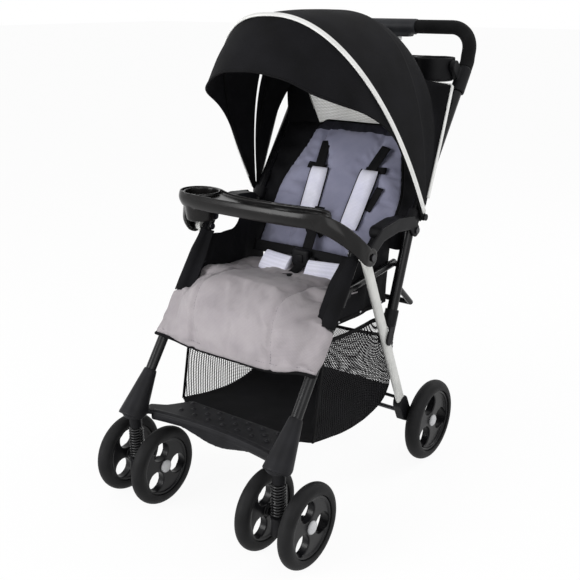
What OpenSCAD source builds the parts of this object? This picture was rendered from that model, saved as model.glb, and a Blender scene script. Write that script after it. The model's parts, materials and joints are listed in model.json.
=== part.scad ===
// Folding pushchair with a hood, child tray, parent tray, basket and sprung twin castors.
// Millimetres, +Z up, the child faces -Y, X = 0 is the plane of symmetry.

/* [Front legs] */
// Outer diameter of a front leg tube
leg_d = 22; // [20:0.5:24]
// Wall of the frame tubes
tube_wall = 1.6; // [1.2:0.1:2]
// Half of the distance between the front legs
leg_x = 190; // [186:1:191]
// Y of the side hub, where the legs, armrests and tray meet
hub_y = -72; // [-76:1:-68]
// Z of the side hub
hub_z = 553; // [548:1:558]
// Z of the lower end of a front leg
leg_foot_z = 222; // [221:1:228]
// Lean of the front legs, back from upright
leg_lean = 35.4; // [34.5:0.1:36.2]
// Diameter of the hub, armrest and hood pins
pin_d = 8; // [7:0.5:9]

/* [Rear legs] */
// Width of the flat rear leg tube along X
rear_leg_w = 13; // [11:0.5:14]
// Depth of the flat rear leg tube
rear_leg_depth = 24; // [20:1:26]
// X of the middle of a rear leg at the hub
rear_leg_x = 210; // [209:0.5:211]
// Y of the lower end of a rear leg
rear_foot_y = 142; // [138:1:146]
// Z of the lower end of a rear leg
rear_foot_z = 131; // [128:1:135]
// How far a rear leg leans inward from the hub to its foot
rear_lean_in = 16; // [14:1:17]

/* [Push tubes] */
// Outer diameter of a push tube
push_d = 22; // [20:0.5:23]
// Half of the distance between the push tubes
push_x = 204; // [203:0.5:205]
// Y of the armrest pin in the push tube
arm_y = 112; // [108:1:116]
// Z of the armrest pin
arm_z = 567; // [563:1:571]
// Lean of the upper push tubes, back from upright
push_lean = 35; // [34:0.2:36]
// Length of the upper push tubes from the armrest pin
push_len = 366; // [360:1:372]
// Z of the point on the rear leg that the push tubes lock on
latch_z = 346; // [338:1:354]

/* [Handle] */
// Outer diameter of the handle bar
bar_d = 20; // [18:0.5:21]
// Height of the handle bow above the top of the push tubes
handle_rise = 95; // [88:1:103]
// Bend radius of the handle bow
handle_bend = 50; // [40:1:60]
// Outer diameter of the foam grips
grip_d = 30; // [27:0.5:33]
// Half length of the middle housing
housing_half = 68; // [60:1:76]
// Travel of the fold trigger
trigger_travel = 6; // [4:0.5:7]

/* [Wheels] */
// Radius of a front tyre
front_r = 85; // [82:1:88]
// Radius of a rear tyre
rear_r = 94; // [90:1:98]
// Radius of a front tyre's section
front_section = 15; // [14:0.5:16]
// Radius of a rear tyre's section
rear_section = 17; // [15:0.5:18]
// Height of a tyre from its rim to its tread
tyre_height = 22; // [20:0.5:25]
// X of a rear wheel's middle
rear_wheel_x = 224; // [224:0.5:226]
// Y of the rear axle
rear_axle_y = 211; // [207:1:215]
// Diameter of the rear axle
rear_axle_d = 10; // [8:0.5:11]
// Width of an opening between the spokes, as a share of the rim's radius
hole_share = 0.68; // [0.6:0.01:0.7]

/* [Front castors] */
// X of a castor's upright axis
castor_x = 188.5; // [187:0.5:190]
// Y of a castor's upright axis
castor_y = -318; // [-321:1:-316]
// How far the axle trails behind the castor's axis
castor_trail = 22; // [20:0.5:24]
// Distance of each twin wheel from the castor's axis
twin_x = 50.5; // [50:0.5:52]
// Diameter of the front axles
front_axle_d = 8; // [7:0.5:9]
// Diameter of the castor's stem
stem_d = 12; // [11:0.5:14]
// Diameter of the castor's guide rod
guide_d = 14; // [12:0.5:16]
// Outer diameter of a spring
spring_d = 31; // [29:0.5:33]
// Diameter of the spring's wire
wire_d = 3; // [2.6:0.1:3.2]
// Turns of a spring
spring_turns = 11; // [9:1:12]
// Travel of the suspension
strut_travel = 12; // [8:1:12]

/* [Footrest] */
// Z of the footrest's underside
rest_z = 196; // [194:1:197]
// Thickness of the footrest's platform
rest_t = 9; // [7:1:14]
// Y of the front edge at the ends
rest_front = -304; // [-308:1:-300]
// Y of the rear edge
rest_rear = -209; // [-214:1:-208]
// How far the front edge is drawn back at the middle
rest_bow = 22; // [10:1:26]
// How much deeper the front lip is at the middle
lip_drop = 22; // [12:1:24]
// Height of the cone around each leg
cone_h = 74; // [66:1:80]

/* [Seat] */
// Thickness of the seat's cushion
seat_t = 32; // [26:1:36]
// X of a side tube of the seat
seat_tube_x = 180; // [179:0.5:181]
// Diameter of a side tube of the seat
seat_tube_d = 16; // [14:0.5:16]
// Z of the pin that joins the seat, the back and the push tubes
seat_pin_z = 494; // [490:1:498]
// Lean of the backrest, back from upright
back_lean = 34.5; // [32:0.5:36]
// Length of the backrest above its pin
back_len = 310; // [300:1:320]
// Half width of the backrest
back_half = 158; // [150:1:160]
// Thickness of the backrest
back_t = 22; // [18:1:26]
// X of the stitched channels
channel_x = 75; // [65:1:85]
// Depth of the stitched channels
channel_depth = 5; // [3:0.5:6]
// Z of the hem of the calf panel
calf_hem_z = 346; // [342:1:350]
// Thickness of the calf panel
calf_t = 7; // [6:0.5:9]

/* [Hood] */
// Y of the hood's pivot
hood_y = 140; // [138:1:142]
// Z of the hood's pivot
hood_z = 590; // [588:1:592]
// Half width of the hood outside
hood_half = 226; // [225.5:0.5:229]
// Radius from the pivot to the front bow
hood_bow_r = 466; // [456:1:472]
// How much higher the rear of the hood stands than the top of the front bow
hood_crown = 8; // [2:1:12]
// Radius from the pivot to the visor's edge
hood_visor_r = 438; // [430:1:446]
// Forward tilt of the front bow
bow_tilt = 30.2; // [28:0.2:32]
// Forward tilt of the visor's edge
visor_tilt = 45.6; // [43:0.2:48]
// Thickness of the hood's cloth
cloth_t = 2; // [1.6:0.1:2.2]

/* [Trays and basket] */
// Z of the child tray's top
tray_z = 645; // [638:1:652]
// Height of the child tray's skirt
tray_skirt = 29; // [26:1:32]
// Diameter of the child tray's cup well
child_cup_d = 70; // [62:1:72]
// Diameter of the parent tray's cup wells
parent_cup_d = 76; // [70:1:78]
// Depth of the parent tray's cup wells
parent_cup_depth = 46; // [36:1:48]
// Height of the parent tray's top above the top of the push tubes
parent_rise = 36; // [31:1:41]
// Half width of the basket
basket_half = 174; // [166:1:175]
// Thickness of the basket's cloth
basket_t = 2; // [1.5:0.5:2.5]

/* [Hidden] */
$fn = 48;

black = "#1c1c1e";
plastic = "#29282b";
silver = "#c6c6c4";
grey_cloth = "#9a969c";
blue_grey = "#85869a";
pad_white = "#d8d8ec";

// Clearances: running fits, fixed fits and gaps between pieces
run_gap = 0.05;
fix_gap = 0.05;
side_gap = 0.5;
seat_gap = 0.3;

// Frame points on the right-hand side, as [x, y, z]
hub = [leg_x, hub_y, hub_z];
leg_dir = [0, sin(leg_lean), cos(leg_lean)];
leg_foot = hub - leg_dir * (hub_z - leg_foot_z) / cos(leg_lean);
leg_over = 16;
leg_top = hub + leg_dir * leg_over;
function leg_y(z) = hub_y - (hub_z - z) * tan(leg_lean);

rear_top = [rear_leg_x, hub_y, hub_z];
rear_foot = [rear_leg_x - rear_lean_in, rear_foot_y, rear_foot_z];
rear_dir = (rear_foot - rear_top) / norm(rear_foot - rear_top);
rear_len = norm(rear_foot - rear_top);
rear_across = unit([1, 0, 0] - rear_dir * rear_dir[0]);
rear_deep = cross(rear_dir, rear_across);
latch_point = rear_top + (rear_foot - rear_top) * (hub_z - latch_z) / (hub_z - rear_foot_z);

arm = [push_x, arm_y, arm_z];
push_dir = [0, sin(push_lean), cos(push_lean)];
push_top = arm + push_dir * push_len;
handle_z = push_top[2] + handle_rise;
parent_z = push_top[2] + parent_rise;
lock = [push_x, latch_point[1], latch_z];
low_dir = (lock - arm) / norm(lock - arm);
latch_reach = rear_leg_depth / 2 + push_d / 2 + 8;
push_foot = lock - low_dir * latch_reach;
function push_y(z) = arm_y + (z - arm_z) * low_dir[1] / low_dir[2];

// The seat's side tubes and the armrests stay parallel while the frame folds
seat_rear = [seat_tube_x, push_y(seat_pin_z), seat_pin_z];
seat_front = seat_rear - [0, arm_y - hub_y, arm_z - hub_z];
seat_over = 11;
seat_top = seat_pin_z - 20;
side_x = seat_tube_x - seat_tube_d / 2 - seat_gap;
seat_half = side_x - cloth_t - seat_gap;

// Stack of pieces along X at the side hub
plate_t = 5;
arm_x0 = rear_leg_x + rear_leg_w / 2 + side_gap;
arm_x1 = arm_x0 + plate_t;
tray_x0 = arm_x1 + side_gap;
tray_x1 = tray_x0 + plate_t + 1;
head_t = 3;
head_d = pin_d + 6;

// Stack of pieces along X at the hood's pivot
rear_bow_x0 = push_x + push_d / 2 + side_gap;
bow_t = 2.4;
hood_x0 = hood_half - cloth_t;
front_bow_x1 = hood_x0 - side_gap;
rear_panel_half = front_bow_x1 - bow_t - side_gap;
rear_bow_half = rear_panel_half - cloth_t - side_gap;

// Castor and wheel places
axle_y = castor_y + castor_trail;
stem_top = leg_foot_z - leg_d / 2 * sin(leg_lean) - 6;
collar_bottom = rest_z - 26;
collar_d = 26;
flange_d = 36;
flange_t = 3;
cup_top = front_r + 13;
cup_bottom = front_r - 25;
cup_d = 34;
boss_half = 33;
boss_d = 22;
hub_inner = twin_x - boss_half - side_gap;
hub_outer = 9;
rim_t = 6;
rim_hub_d = 30;
cap_d = 18;
cap_t = 4;
housing_x0 = 184;
housing_x1 = rear_wheel_x - 19 - side_gap;
brake_y = rear_axle_y - 35;
brake_z = rear_r + 22;
brake_d = 8;

// Handle, trays and hood places
sleeve_d = 31;
parent_cup_x = 150;
parent_cup_y = push_top[1] - 26;
parent_wall = 4;
hood_from = 4;
rear_panel_to = -22.6;
hood_rear_r = hood_bow_r * cos(bow_tilt) + hood_crown;
mount_z = hood_z;

// Directions on the backrest: u runs up the back and n points at the child
back_pin = [0, seat_rear[1], seat_rear[2]];

// A round bar from p to q
module rod(p, q, d) {
    v = q - p;
    translate(p)
        rotate([0, acos(v[2] / norm(v)), atan2(v[1], v[0])])
            cylinder(h = norm(v), d = d);
}

// Straight bars with round joints along a list of points
module bars(points, d) {
    for (i = [0 : len(points) - 2])
        rod(points[i], points[i + 1], d);
    for (i = [1 : len(points) - 2])
        translate(points[i]) sphere(d = d);
}

// A bar along X from x0 to x1
module x_bar(y, z, d, x0, x1)
    translate([x0, y, z]) rotate([0, 90, 0]) cylinder(h = x1 - x0, d = d);

// A Y-Z outline pushed along X from x0 to x1
module x_plate(x0, x1)
    translate([x0, 0, 0]) rotate([90, 0, 90]) linear_extrude(x1 - x0) children();

// A flat band of half width r along a list of Y-Z points, with round ends
cap_steps = 12;
function unit(v) = v / norm(v);
function left_of(v) = [-v[1], v[0]];
function band_side(p, i) = let (
    last = len(p) - 1,
    a = unit(p[max(1, i)] - p[max(1, i) - 1]),
    b = unit(p[min(last, i + 1)] - p[min(last, i + 1) - 1]),
    m = unit(a + b)) left_of(m) / (m * b);
module band(p, r) {
    last = len(p) - 1;
    from = unit(p[1] - p[0]);
    to = unit(p[last] - p[last - 1]);
    polygon(concat(
        [for (i = [0 : last]) p[i] + r * band_side(p, i)],
        [for (k = [1 : cap_steps - 1]) let (a = 180 * k / cap_steps) p[last] + r * (left_of(to) * cos(a) + to * sin(a))],
        [for (i = [last : -1 : 0]) p[i] - r * band_side(p, i)],
        [for (k = [1 : cap_steps - 1]) let (a = 180 * k / cap_steps) p[0] - r * (left_of(from) * cos(a) + from * sin(a))]));
}
module link(p, q, r) band([p, q], r);

// Draws the right-hand piece as it is or mirrored to the left
module sided(s) {
    if (s > 0) children();
    else mirror([1, 0, 0]) children();
}

// Closed solid between an outer grid and an inner grid of points
module skin(outer, inner) {
    rows = len(outer);
    cols = len(outer[0]);
    half = rows * cols;
    function at(i, j) = i * cols + j;
    polyhedron(
        points = concat([for (r = outer) each r], [for (r = inner) each r]),
        faces = concat(
            [for (i = [0 : rows - 2], j = [0 : cols - 2]) each [
                [at(i, j), at(i, j + 1), at(i + 1, j + 1)],
                [at(i, j), at(i + 1, j + 1), at(i + 1, j)],
                [half + at(i, j), half + at(i + 1, j + 1), half + at(i, j + 1)],
                [half + at(i, j), half + at(i + 1, j), half + at(i + 1, j + 1)]]],
            [for (i = [0 : rows - 2]) each [
                [at(i, 0), at(i + 1, 0), half + at(i + 1, 0)],
                [at(i, 0), half + at(i + 1, 0), half + at(i, 0)],
                [at(i + 1, cols - 1), at(i, cols - 1), half + at(i, cols - 1)],
                [at(i + 1, cols - 1), half + at(i, cols - 1), half + at(i + 1, cols - 1)]]],
            [for (j = [0 : cols - 2]) each [
                [at(0, j + 1), at(0, j), half + at(0, j)],
                [at(0, j + 1), half + at(0, j), half + at(0, j + 1)],
                [at(rows - 1, j), at(rows - 1, j + 1), half + at(rows - 1, j + 1)],
                [at(rows - 1, j), half + at(rows - 1, j + 1), half + at(rows - 1, j)]]]),
        convexity = 8);
}

// Smooth step from 0 to 1
function ease(t) = let (c = max(0, min(1, t))) c * c * (3 - 2 * c);
function mix(a, b, t) = a + (b - a) * t;

// Groove of a stitched channel at x
function channel(x) = channel_depth * (exp(-pow((x - channel_x) / 9, 2)) + exp(-pow((x + channel_x) / 9, 2)));

// Front frame

module front_leg(s)
    color(black) sided(s) difference() {
        rod(leg_foot, leg_top, leg_d);
        rod(leg_foot - leg_dir, leg_top + leg_dir, leg_d - 2 * tube_wall);
        x_bar(hub_y, hub_z, pin_d + 2 * fix_gap, leg_x - leg_d, leg_x + leg_d);
    }

// Plan of the footrest: the front edge is drawn back at the middle
rest_steps = 12;
function rest_edge(x) = rest_front + rest_bow * (1 - pow(x / castor_x, 2));
module rest_plan(depth)
    polygon(concat(
        [for (i = [0 : rest_steps]) let (x = mix(-castor_x, castor_x, i / rest_steps)) [x, rest_edge(x)]],
        [for (i = [rest_steps : -1 : 0]) let (x = mix(-castor_x, castor_x, i / rest_steps))
            [x, min(rest_rear - 62 * ease((abs(x) - 128) / 44), rest_edge(x) + depth)]]));

// Front lip seen from the front: deep at the middle and shallow over the wheels
lip_wide = 118;
function lip_low(x) = rest_z - 8 - lip_drop * (1 - ease(abs(x) / lip_wide));
module lip_face()
    polygon(concat(
        [[castor_x, rest_z + rest_t], [-castor_x, rest_z + rest_t]],
        [for (i = [0 : 2 * rest_steps]) let (x = mix(-castor_x, castor_x, i / (2 * rest_steps))) [x, lip_low(x)]]));

module footrest() {
    lip_t = 11;
    dimple_r = 6;
    block_d = 50;
    cone_sink = 34;
    color(plastic) difference() {
        union() {
            translate([0, 0, rest_z]) linear_extrude(rest_t) rest_plan(200);
            intersection() {
                translate([0, 0, rest_z - 60]) linear_extrude(120) rest_plan(lip_t);
                translate([0, 200, 0]) rotate([90, 0, 0]) linear_extrude(600) lip_face();
            }
            for (row = [0 : 2], col = [-3 : 3])
                translate([(col + (row % 2) / 2) * 38, rest_rear - 12 - row * 18, rest_z + rest_t - dimple_r + 2])
                    sphere(dimple_r);
            for (s = [-1, 1]) sided(s) {
                translate([castor_x, castor_y, rest_z]) cylinder(h = rest_t, d = block_d);
                translate(leg_foot)
                    rotate([-leg_lean, 0, 0]) translate([0, 0, -cone_sink])
                        cylinder(h = cone_h + cone_sink, d1 = block_d + 10, d2 = leg_d + 5);
            }
        }
        for (s = [-1, 1]) sided(s) {
            rod(leg_foot, leg_top, leg_d + 2 * fix_gap);
            translate([castor_x, castor_y, 0]) cylinder(h = stem_top + side_gap, d = stem_d + 2 * run_gap);
            translate([castor_x, castor_y, rest_z - 60]) cylinder(h = 60, d = 90);
        }
    }
}

module hub_pins()
    color(silver) for (s = [-1, 1]) sided(s) {
        x_bar(hub_y, hub_z, pin_d, leg_x - leg_d / 2 - seat_gap, tray_x1 + seat_gap);
        x_bar(hub_y, hub_z, head_d, leg_x - leg_d / 2 - seat_gap - head_t, leg_x - leg_d / 2 - seat_gap);
        x_bar(hub_y, hub_z, head_d, tray_x1 + seat_gap, tray_x1 + seat_gap + head_t);
    }

module seat_brackets() {
    ear_x0 = seat_tube_x + seat_tube_d / 2 + side_gap;
    on_leg = [leg_x, leg_y(seat_front[2]), seat_front[2]];
    color(plastic) for (s = [-1, 1]) sided(s) {
        difference() {
            union() {
                rod(on_leg - leg_dir * 18, on_leg + leg_dir * 18, 2 * sleeve_r);
                x_plate(ear_x0, ear_x0 + plate_t)
                    link([seat_front[1], seat_front[2]], [on_leg[1], on_leg[2]], pin_d / 2 + 5);
            }
            rod(leg_foot, leg_top, leg_d + 2 * fix_gap);
        }
        x_bar(seat_front[1], seat_front[2], pin_d, seat_tube_x - seat_tube_d / 2 - 0.1, ear_x0 + plate_t);
    }
}

sleeve_r = leg_d / 2 + 3.5;
// Path of the calf panel's front face from the hem up and over the seat's front edge, as [y, z, half width]
calf_wide = leg_x + leg_d / 2 + 4;
calf_y = seat_front[1] - 131;
// Distance of the panel's face in front of the legs' middle
calf_clear = leg_d / 2 / cos(leg_lean) + calf_t + 1;
calf_path = [
    [calf_y, calf_hem_z, calf_wide], [calf_y, calf_hem_z + 18, calf_wide], [calf_y + 1, calf_hem_z + 38, calf_wide],
    [calf_y + 2, calf_hem_z + 58, calf_wide - 2], [calf_y + 5, seat_top - 50, calf_wide - 6],
    [calf_y + 10, seat_top - 28, leg_x - 15], [calf_y + 19, seat_top - 11, leg_x - 16],
    [calf_y + 33, seat_top, leg_x - 18], [calf_y + 55, seat_top + 6, leg_x - 18], [calf_y + 79, seat_top + 7, leg_x - 18],
    [leg_y(seat_top + 5), seat_top + 5, leg_x - sleeve_r - seat_gap],
    [leg_y(seat_top + 5) + 12, seat_top + 4, seat_half], [seat_front[1] - 3, seat_top + 2, seat_half]];
calf_cols = 24;
// Outward direction of the path at row i, from the rows beside it
function calf_normal(i) = let (
    a = calf_path[max(0, i - 1)],
    b = calf_path[min(len(calf_path) - 1, i + 1)],
    t = [b[0] - a[0], b[1] - a[1]]) [-t[1], t[0]] / norm(t);
function calf_point(i, j, inset) = let (
    p = calf_path[i],
    x = mix(-p[2], p[2], j / calf_cols),
    side = ease((abs(x) - 100) / 78) * ease((seat_top - p[1]) / 10),
    y = mix(p[0], leg_y(p[1]) - calf_clear, side),
    n = calf_normal(i),
    out = 2 - channel(x) * 0.4 - inset) [x, y + n[0] * out, p[1] + n[1] * out];

module calf_panel()
    color(grey_cloth) skin(
        [for (i = [0 : len(calf_path) - 1]) [for (j = [calf_cols : -1 : 0]) calf_point(i, j, 0)]],
        [for (i = [0 : len(calf_path) - 1]) [for (j = [calf_cols : -1 : 0]) calf_point(i, j, calf_t)]]);

// Basket: the floor and rear wall are one hanging sheet with two side walls
basket_line = [[-205, 202], [-160, 182], [-100, 167], [-50, 160], [0, 159], [50, 165], [88, 178], [108, 204], [116, 250], [120, 300]];
basket_top = 386;
module basket() {
    tab_z = 380;
    color(black) {
        x_plate(-basket_half, basket_half)
            polygon(concat(basket_line,
                [for (i = [len(basket_line) - 1 : -1 : 0]) basket_line[i] + (i > 7 ? [-basket_t, 0] : [0, basket_t])]));
        for (s = [-1, 1]) sided(s) {
            x_plate(basket_half - basket_t, basket_half)
                polygon(concat(basket_line, [[116, 330], [70, basket_top], [-50, basket_top - 4], [-168, basket_top + 6]]));
            x_plate(basket_half - basket_t, leg_x - leg_d / 2 - seat_gap)
                translate([leg_y(tab_z) - 8, tab_z - 14]) square([40, 15]);
        }
    }
}

// Castors

module castor_post(s)
    color(plastic) sided(s) translate([castor_x, castor_y, 0]) {
        translate([0, 0, collar_bottom]) cylinder(h = stem_top - collar_bottom, d = stem_d);
        translate([0, 0, rest_z - seat_gap - flange_t]) cylinder(h = flange_t, d = flange_d);
        translate([0, 0, collar_bottom]) cylinder(h = rest_z - seat_gap - collar_bottom, d = collar_d);
        translate([0, 0, cup_bottom + 4 + strut_travel]) cylinder(h = collar_bottom - cup_bottom - 4 - strut_travel, d = guide_d);
    }

// Helix of the spring between the carrier's cup and the collar
curl_rings = 8;
wire_sides = 6;
coil_r = (spring_d - wire_d) / 2;
coil_z0 = cup_top + wire_d / 2 + seat_gap;
coil_z1 = collar_bottom - wire_d / 2 - seat_gap;
coil_steps = spring_turns * curl_rings;
function coil_point(i) = let (a = i * 360 / curl_rings)
    [coil_r * cos(a), coil_r * sin(a), mix(coil_z0, coil_z1, i / coil_steps)];
// One ring of the wire: the section stands square to the helix
function wire_ring(i) = let (
    a = i * 360 / curl_rings,
    rise = (coil_z1 - coil_z0) / (spring_turns * 2 * PI * coil_r),
    along = [-sin(a), cos(a), rise] / norm([1, rise]),
    outward = [cos(a), sin(a), 0],
    upward = cross(outward, along))
    [for (k = [0 : wire_sides - 1]) let (b = k * 360 / wire_sides)
        coil_point(i) + wire_d / 2 * (cos(b) * outward + sin(b) * upward)];
coil_gap = min([for (i = [0 : coil_steps], k = [i + curl_rings - 2 : 1 : min(coil_steps, i + curl_rings + 2)])
    norm(coil_point(i) - coil_point(k))]) - wire_d;
echo(least_gap_between_spring_turns = coil_gap);

module castor_spring(s)
    color(black) sided(s) translate([castor_x, castor_y, 0])
        polyhedron(
            points = [for (i = [0 : coil_steps]) each wire_ring(i)],
            faces = concat(
                [for (i = [0 : coil_steps - 1], k = [0 : wire_sides - 1]) let (
                    a = i * wire_sides + k,
                    b = i * wire_sides + (k + 1) % wire_sides) each [
                        [a, b, b + wire_sides], [a, b + wire_sides, a + wire_sides]]],
                [for (k = [1 : wire_sides - 2]) each [
                    [0, k + 1, k],
                    [coil_steps * wire_sides, coil_steps * wire_sides + k, coil_steps * wire_sides + k + 1]]]),
            convexity = 20);

module axle_carrier(s)
    color(plastic) sided(s) difference() {
        union() {
            translate([castor_x, castor_y, cup_bottom]) cylinder(h = cup_top - cup_bottom, d = cup_d);
            x_bar(axle_y, front_r, boss_d, castor_x - boss_half, castor_x + boss_half);
            translate([castor_x - 11, castor_y, front_r - 11]) cube([22, castor_trail, 22]);
        }
        translate([castor_x, castor_y, cup_bottom + 2]) cylinder(h = 100, d = guide_d + 2 * run_gap);
        x_bar(axle_y, front_r, front_axle_d + 2 * fix_gap, 0, castor_x * 2);
    }

// A round axle with a domed cap outside each wheel
module capped_axle(y, z, d, x0, x1) {
    x_bar(y, z, d, x0, x1);
    x_bar(y, z, cap_d, x0 - cap_t, x0);
    x_bar(y, z, cap_d, x1, x1 + cap_t);
}

module front_axle(s) {
    reach = twin_x + hub_outer + seat_gap;
    color(silver) sided(s) capped_axle(axle_y, front_r, front_axle_d, castor_x - reach, castor_x + reach);
}

// Wheels turn about X: inward is the side of the longer hub

module tyre(r, section)
    rotate([0, 90, 0]) rotate_extrude() difference() {
        translate([r - section, 0]) circle(section);
        translate([-1, -section - 1]) square([r - tyre_height + fix_gap + 1, 2 * section + 2]);
    }

module rim(r, section, axle_d, inward, outward) {
    half_w = section - 4;
    web_in = min(half_w - 2, inward - 1);
    web_out = min(half_w - 2, outward - 1);
    rotate([0, 90, 0]) difference() {
        union() {
            translate([0, 0, -half_w]) difference() {
                cylinder(h = 2 * half_w, r = r);
                translate([0, 0, -1]) cylinder(h = 2 * half_w + 2, r = r - rim_t);
            }
            translate([0, 0, -inward]) cylinder(h = inward + outward, d = rim_hub_d);
            translate([0, 0, -web_in]) cylinder(h = web_in + web_out, r = r - rim_t / 2);
        }
        for (a = [0 : 120 : 359]) rotate(a + 75)
            translate([r - rim_t / 2 - 1 - r * hole_share / 2, 0, -section]) cylinder(h = 2 * section, d = r * hole_share);
        translate([0, 0, -inward - 1]) cylinder(h = inward + outward + 2, d = axle_d + 2 * run_gap);
    }
}

// Side is -1 or 1 for the stroller's side; out is 1 for the outer twin and -1 for the inner one
module front_place(side, out)
    sided(side) translate([castor_x + out * twin_x, axle_y, front_r]) sided(out) children();
module front_tyre(side, out)
    color(black) front_place(side, out) tyre(front_r, front_section);
module front_rim(side, out)
    color(plastic) front_place(side, out)
        rim(front_r - tyre_height, front_section, front_axle_d, hub_inner, hub_outer);

module rear_place(side) sided(side) translate([rear_wheel_x, rear_axle_y, rear_r]) children();
module rear_tyre(side) color(black) rear_place(side) tyre(rear_r, rear_section);
module rear_rim(side)
    color(plastic) rear_place(side)
        rim(rear_r - tyre_height, rear_section, rear_axle_d, rear_wheel_x - housing_x1 - side_gap, hub_outer);

// Rear frame

// Section of the flat rear leg, grown by g
module rear_section_2d(g) {
    w = rear_leg_w + 2 * g;
    d = rear_leg_depth + 2 * g;
    for (e = [-1, 1]) translate([0, e * (d - w) / 2]) circle(d = w);
    translate([-w / 2, -(d - w) / 2]) square([w, d - w]);
}

// The rear leg's section pushed along the leg between two distances from the hub
module rear_bar(g, from, to)
    multmatrix([for (k = [0 : 2]) [rear_across[k], rear_deep[k], rear_dir[k], rear_top[k]]])
        translate([0, 0, from]) linear_extrude(to - from) rear_section_2d(g);

module rear_leg(s)
    color(silver) sided(s) difference() {
        union() {
            rear_bar(0, 0, rear_len);
            x_bar(hub_y, hub_z, rear_leg_depth, rear_leg_x - rear_leg_w / 2, rear_leg_x + rear_leg_w / 2);
        }
        rear_bar(-tube_wall, 22, rear_len + 1);
        x_bar(hub_y, hub_z, pin_d + 2 * run_gap, 0, 2 * rear_leg_x);
    }

module rear_housing(s) {
    foot = [rear_foot_y, rear_foot_z];
    up_leg = foot - 36 * [rear_dir[1], rear_dir[2]];
    axle = [rear_axle_y, rear_r];
    wall = 5;
    color(plastic) sided(s) difference() {
        x_plate(housing_x0, housing_x1)
            band([up_leg, foot, axle], rear_leg_depth / 2 + wall);
        rear_bar(fix_gap, rear_len - 80, rear_len + seat_gap);
        x_bar(rear_axle_y, rear_r, rear_axle_d + 2 * fix_gap, 0, 2 * rear_wheel_x);
        x_bar(brake_y, brake_z, brake_d + 2 * run_gap, 0, 2 * rear_wheel_x);
    }
}

module rear_axle() {
    reach = rear_wheel_x + hub_outer + seat_gap;
    color(silver) capped_axle(rear_axle_y, rear_r, rear_axle_d, -reach, reach);
}

// Foot bar between the rear wheels: press it down to brake
module brake_bar() {
    inner = housing_x0 - 14;
    pedal = [130, rear_axle_y + 25, brake_z - 4];
    color(black) {
        bars([[-pedal[0], pedal[1], pedal[2]], pedal, [inner, brake_y, brake_z], [housing_x1, brake_y, brake_z]], brake_d);
        bars([pedal, [-pedal[0], pedal[1], pedal[2]], [-inner, brake_y, brake_z], [-housing_x1, brake_y, brake_z]], brake_d);
    }
}

// Armrests

arm_hub = [hub_y, hub_z];
arm_end = [arm_y, arm_z];
arm_crest = [[hub_y + 50, hub_z + 32], [hub_y + 112, hub_z + 39], [arm_y - 16, arm_z + 19]];
module armrest(s) {
    r = 14;
    body_r = 12.5;
    body_front = arm_crest[0] + [10, 1];
    body_rear = [arm_y - 26, arm_z + 20];
    body_x0 = push_x - push_d / 2 - 5;
    color(plastic) sided(s) difference() {
        union() {
            x_plate(arm_x0, arm_x1) band([arm_hub, arm_crest[0], arm_crest[1], arm_crest[2], arm_end], r);
            x_plate(body_x0, arm_x0 + 1) band([body_front, arm_crest[1], body_rear], body_r);
        }
        x_bar(hub_y, hub_z, pin_d + 2 * run_gap, 0, 2 * arm_x1);
        x_bar(arm_y, arm_z, pin_d + 2 * run_gap, 0, 2 * arm_x1);
    }
}

module arm_pins()
    color(silver) for (s = [-1, 1]) sided(s) {
        x0 = push_x - push_d / 2 - seat_gap;
        x_bar(arm_y, arm_z, pin_d, x0, arm_x1 + seat_gap);
        x_bar(arm_y, arm_z, head_d, x0 - head_t, x0);
        x_bar(arm_y, arm_z, head_d, arm_x1 + seat_gap, arm_x1 + seat_gap + head_t);
    }

// Push frame

// A plug fills each tube for this length on both sides of the armrest pin
plug_half = 16;
module push_tube(s)
    color(black) sided(s) difference() {
        bars([push_foot, arm, push_top], push_d);
        rod(push_foot + low_dir, arm + low_dir * plug_half, push_d - 2 * tube_wall);
        rod(arm + push_dir * plug_half, push_top + push_dir, push_d - 2 * tube_wall);
        x_bar(arm_y, arm_z, pin_d + 2 * fix_gap, push_x - push_d, push_x + push_d);
        x_bar(seat_rear[1], seat_rear[2], pin_d + 2 * fix_gap, push_x - push_d, push_x);
    }

// Fork at the foot of a push tube that straddles the rear leg
module latch(s) {
    fork_gap = 2;
    fork_t = 4;
    fork_half = rear_leg_w / 2 + fork_gap;
    point = [latch_point[1], latch_z];
    socket_top = push_foot - low_dir * 34;
    collar = push_foot - low_dir * 12;
    color(plastic) sided(s) difference() {
        union() {
            rod(push_foot + low_dir * 2, socket_top, push_d + 7);
            for (e = [-1, 1])
                x_plate(latch_point[0] + e * (fork_half + fork_t / 2) - fork_t / 2,
                        latch_point[0] + e * (fork_half + fork_t / 2) + fork_t / 2)
                    link(point, [collar[1], collar[2]], 12);
        }
        rod(push_foot, socket_top - low_dir, push_d + 2 * fix_gap);
        rear_bar(fork_gap, 0, rear_len);
    }
}

// Bow behind the seat that the recline strap pulls against
module support_bar() {
    d = 12;
    z0 = seat_pin_z - 40;
    back_y = 132;
    back_z = 401;
    root_y = push_y(z0);
    way = [back_y - root_y, back_z - z0] / norm([back_y - root_y, back_z - z0]);
    off = push_d / 2 + seat_gap + 3.5;
    start = [push_x, root_y + way[0] * off, z0 + way[1] * off];
    corner = [push_x, back_y, back_z];
    color(black) bars([start, corner, [-push_x, back_y, back_z], [-push_x, start[1], start[2]]], d);
}

module recline_rod()
    color(silver) x_bar(seat_rear[1], seat_rear[2], pin_d, -push_x + 3, push_x - 3);

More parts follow.
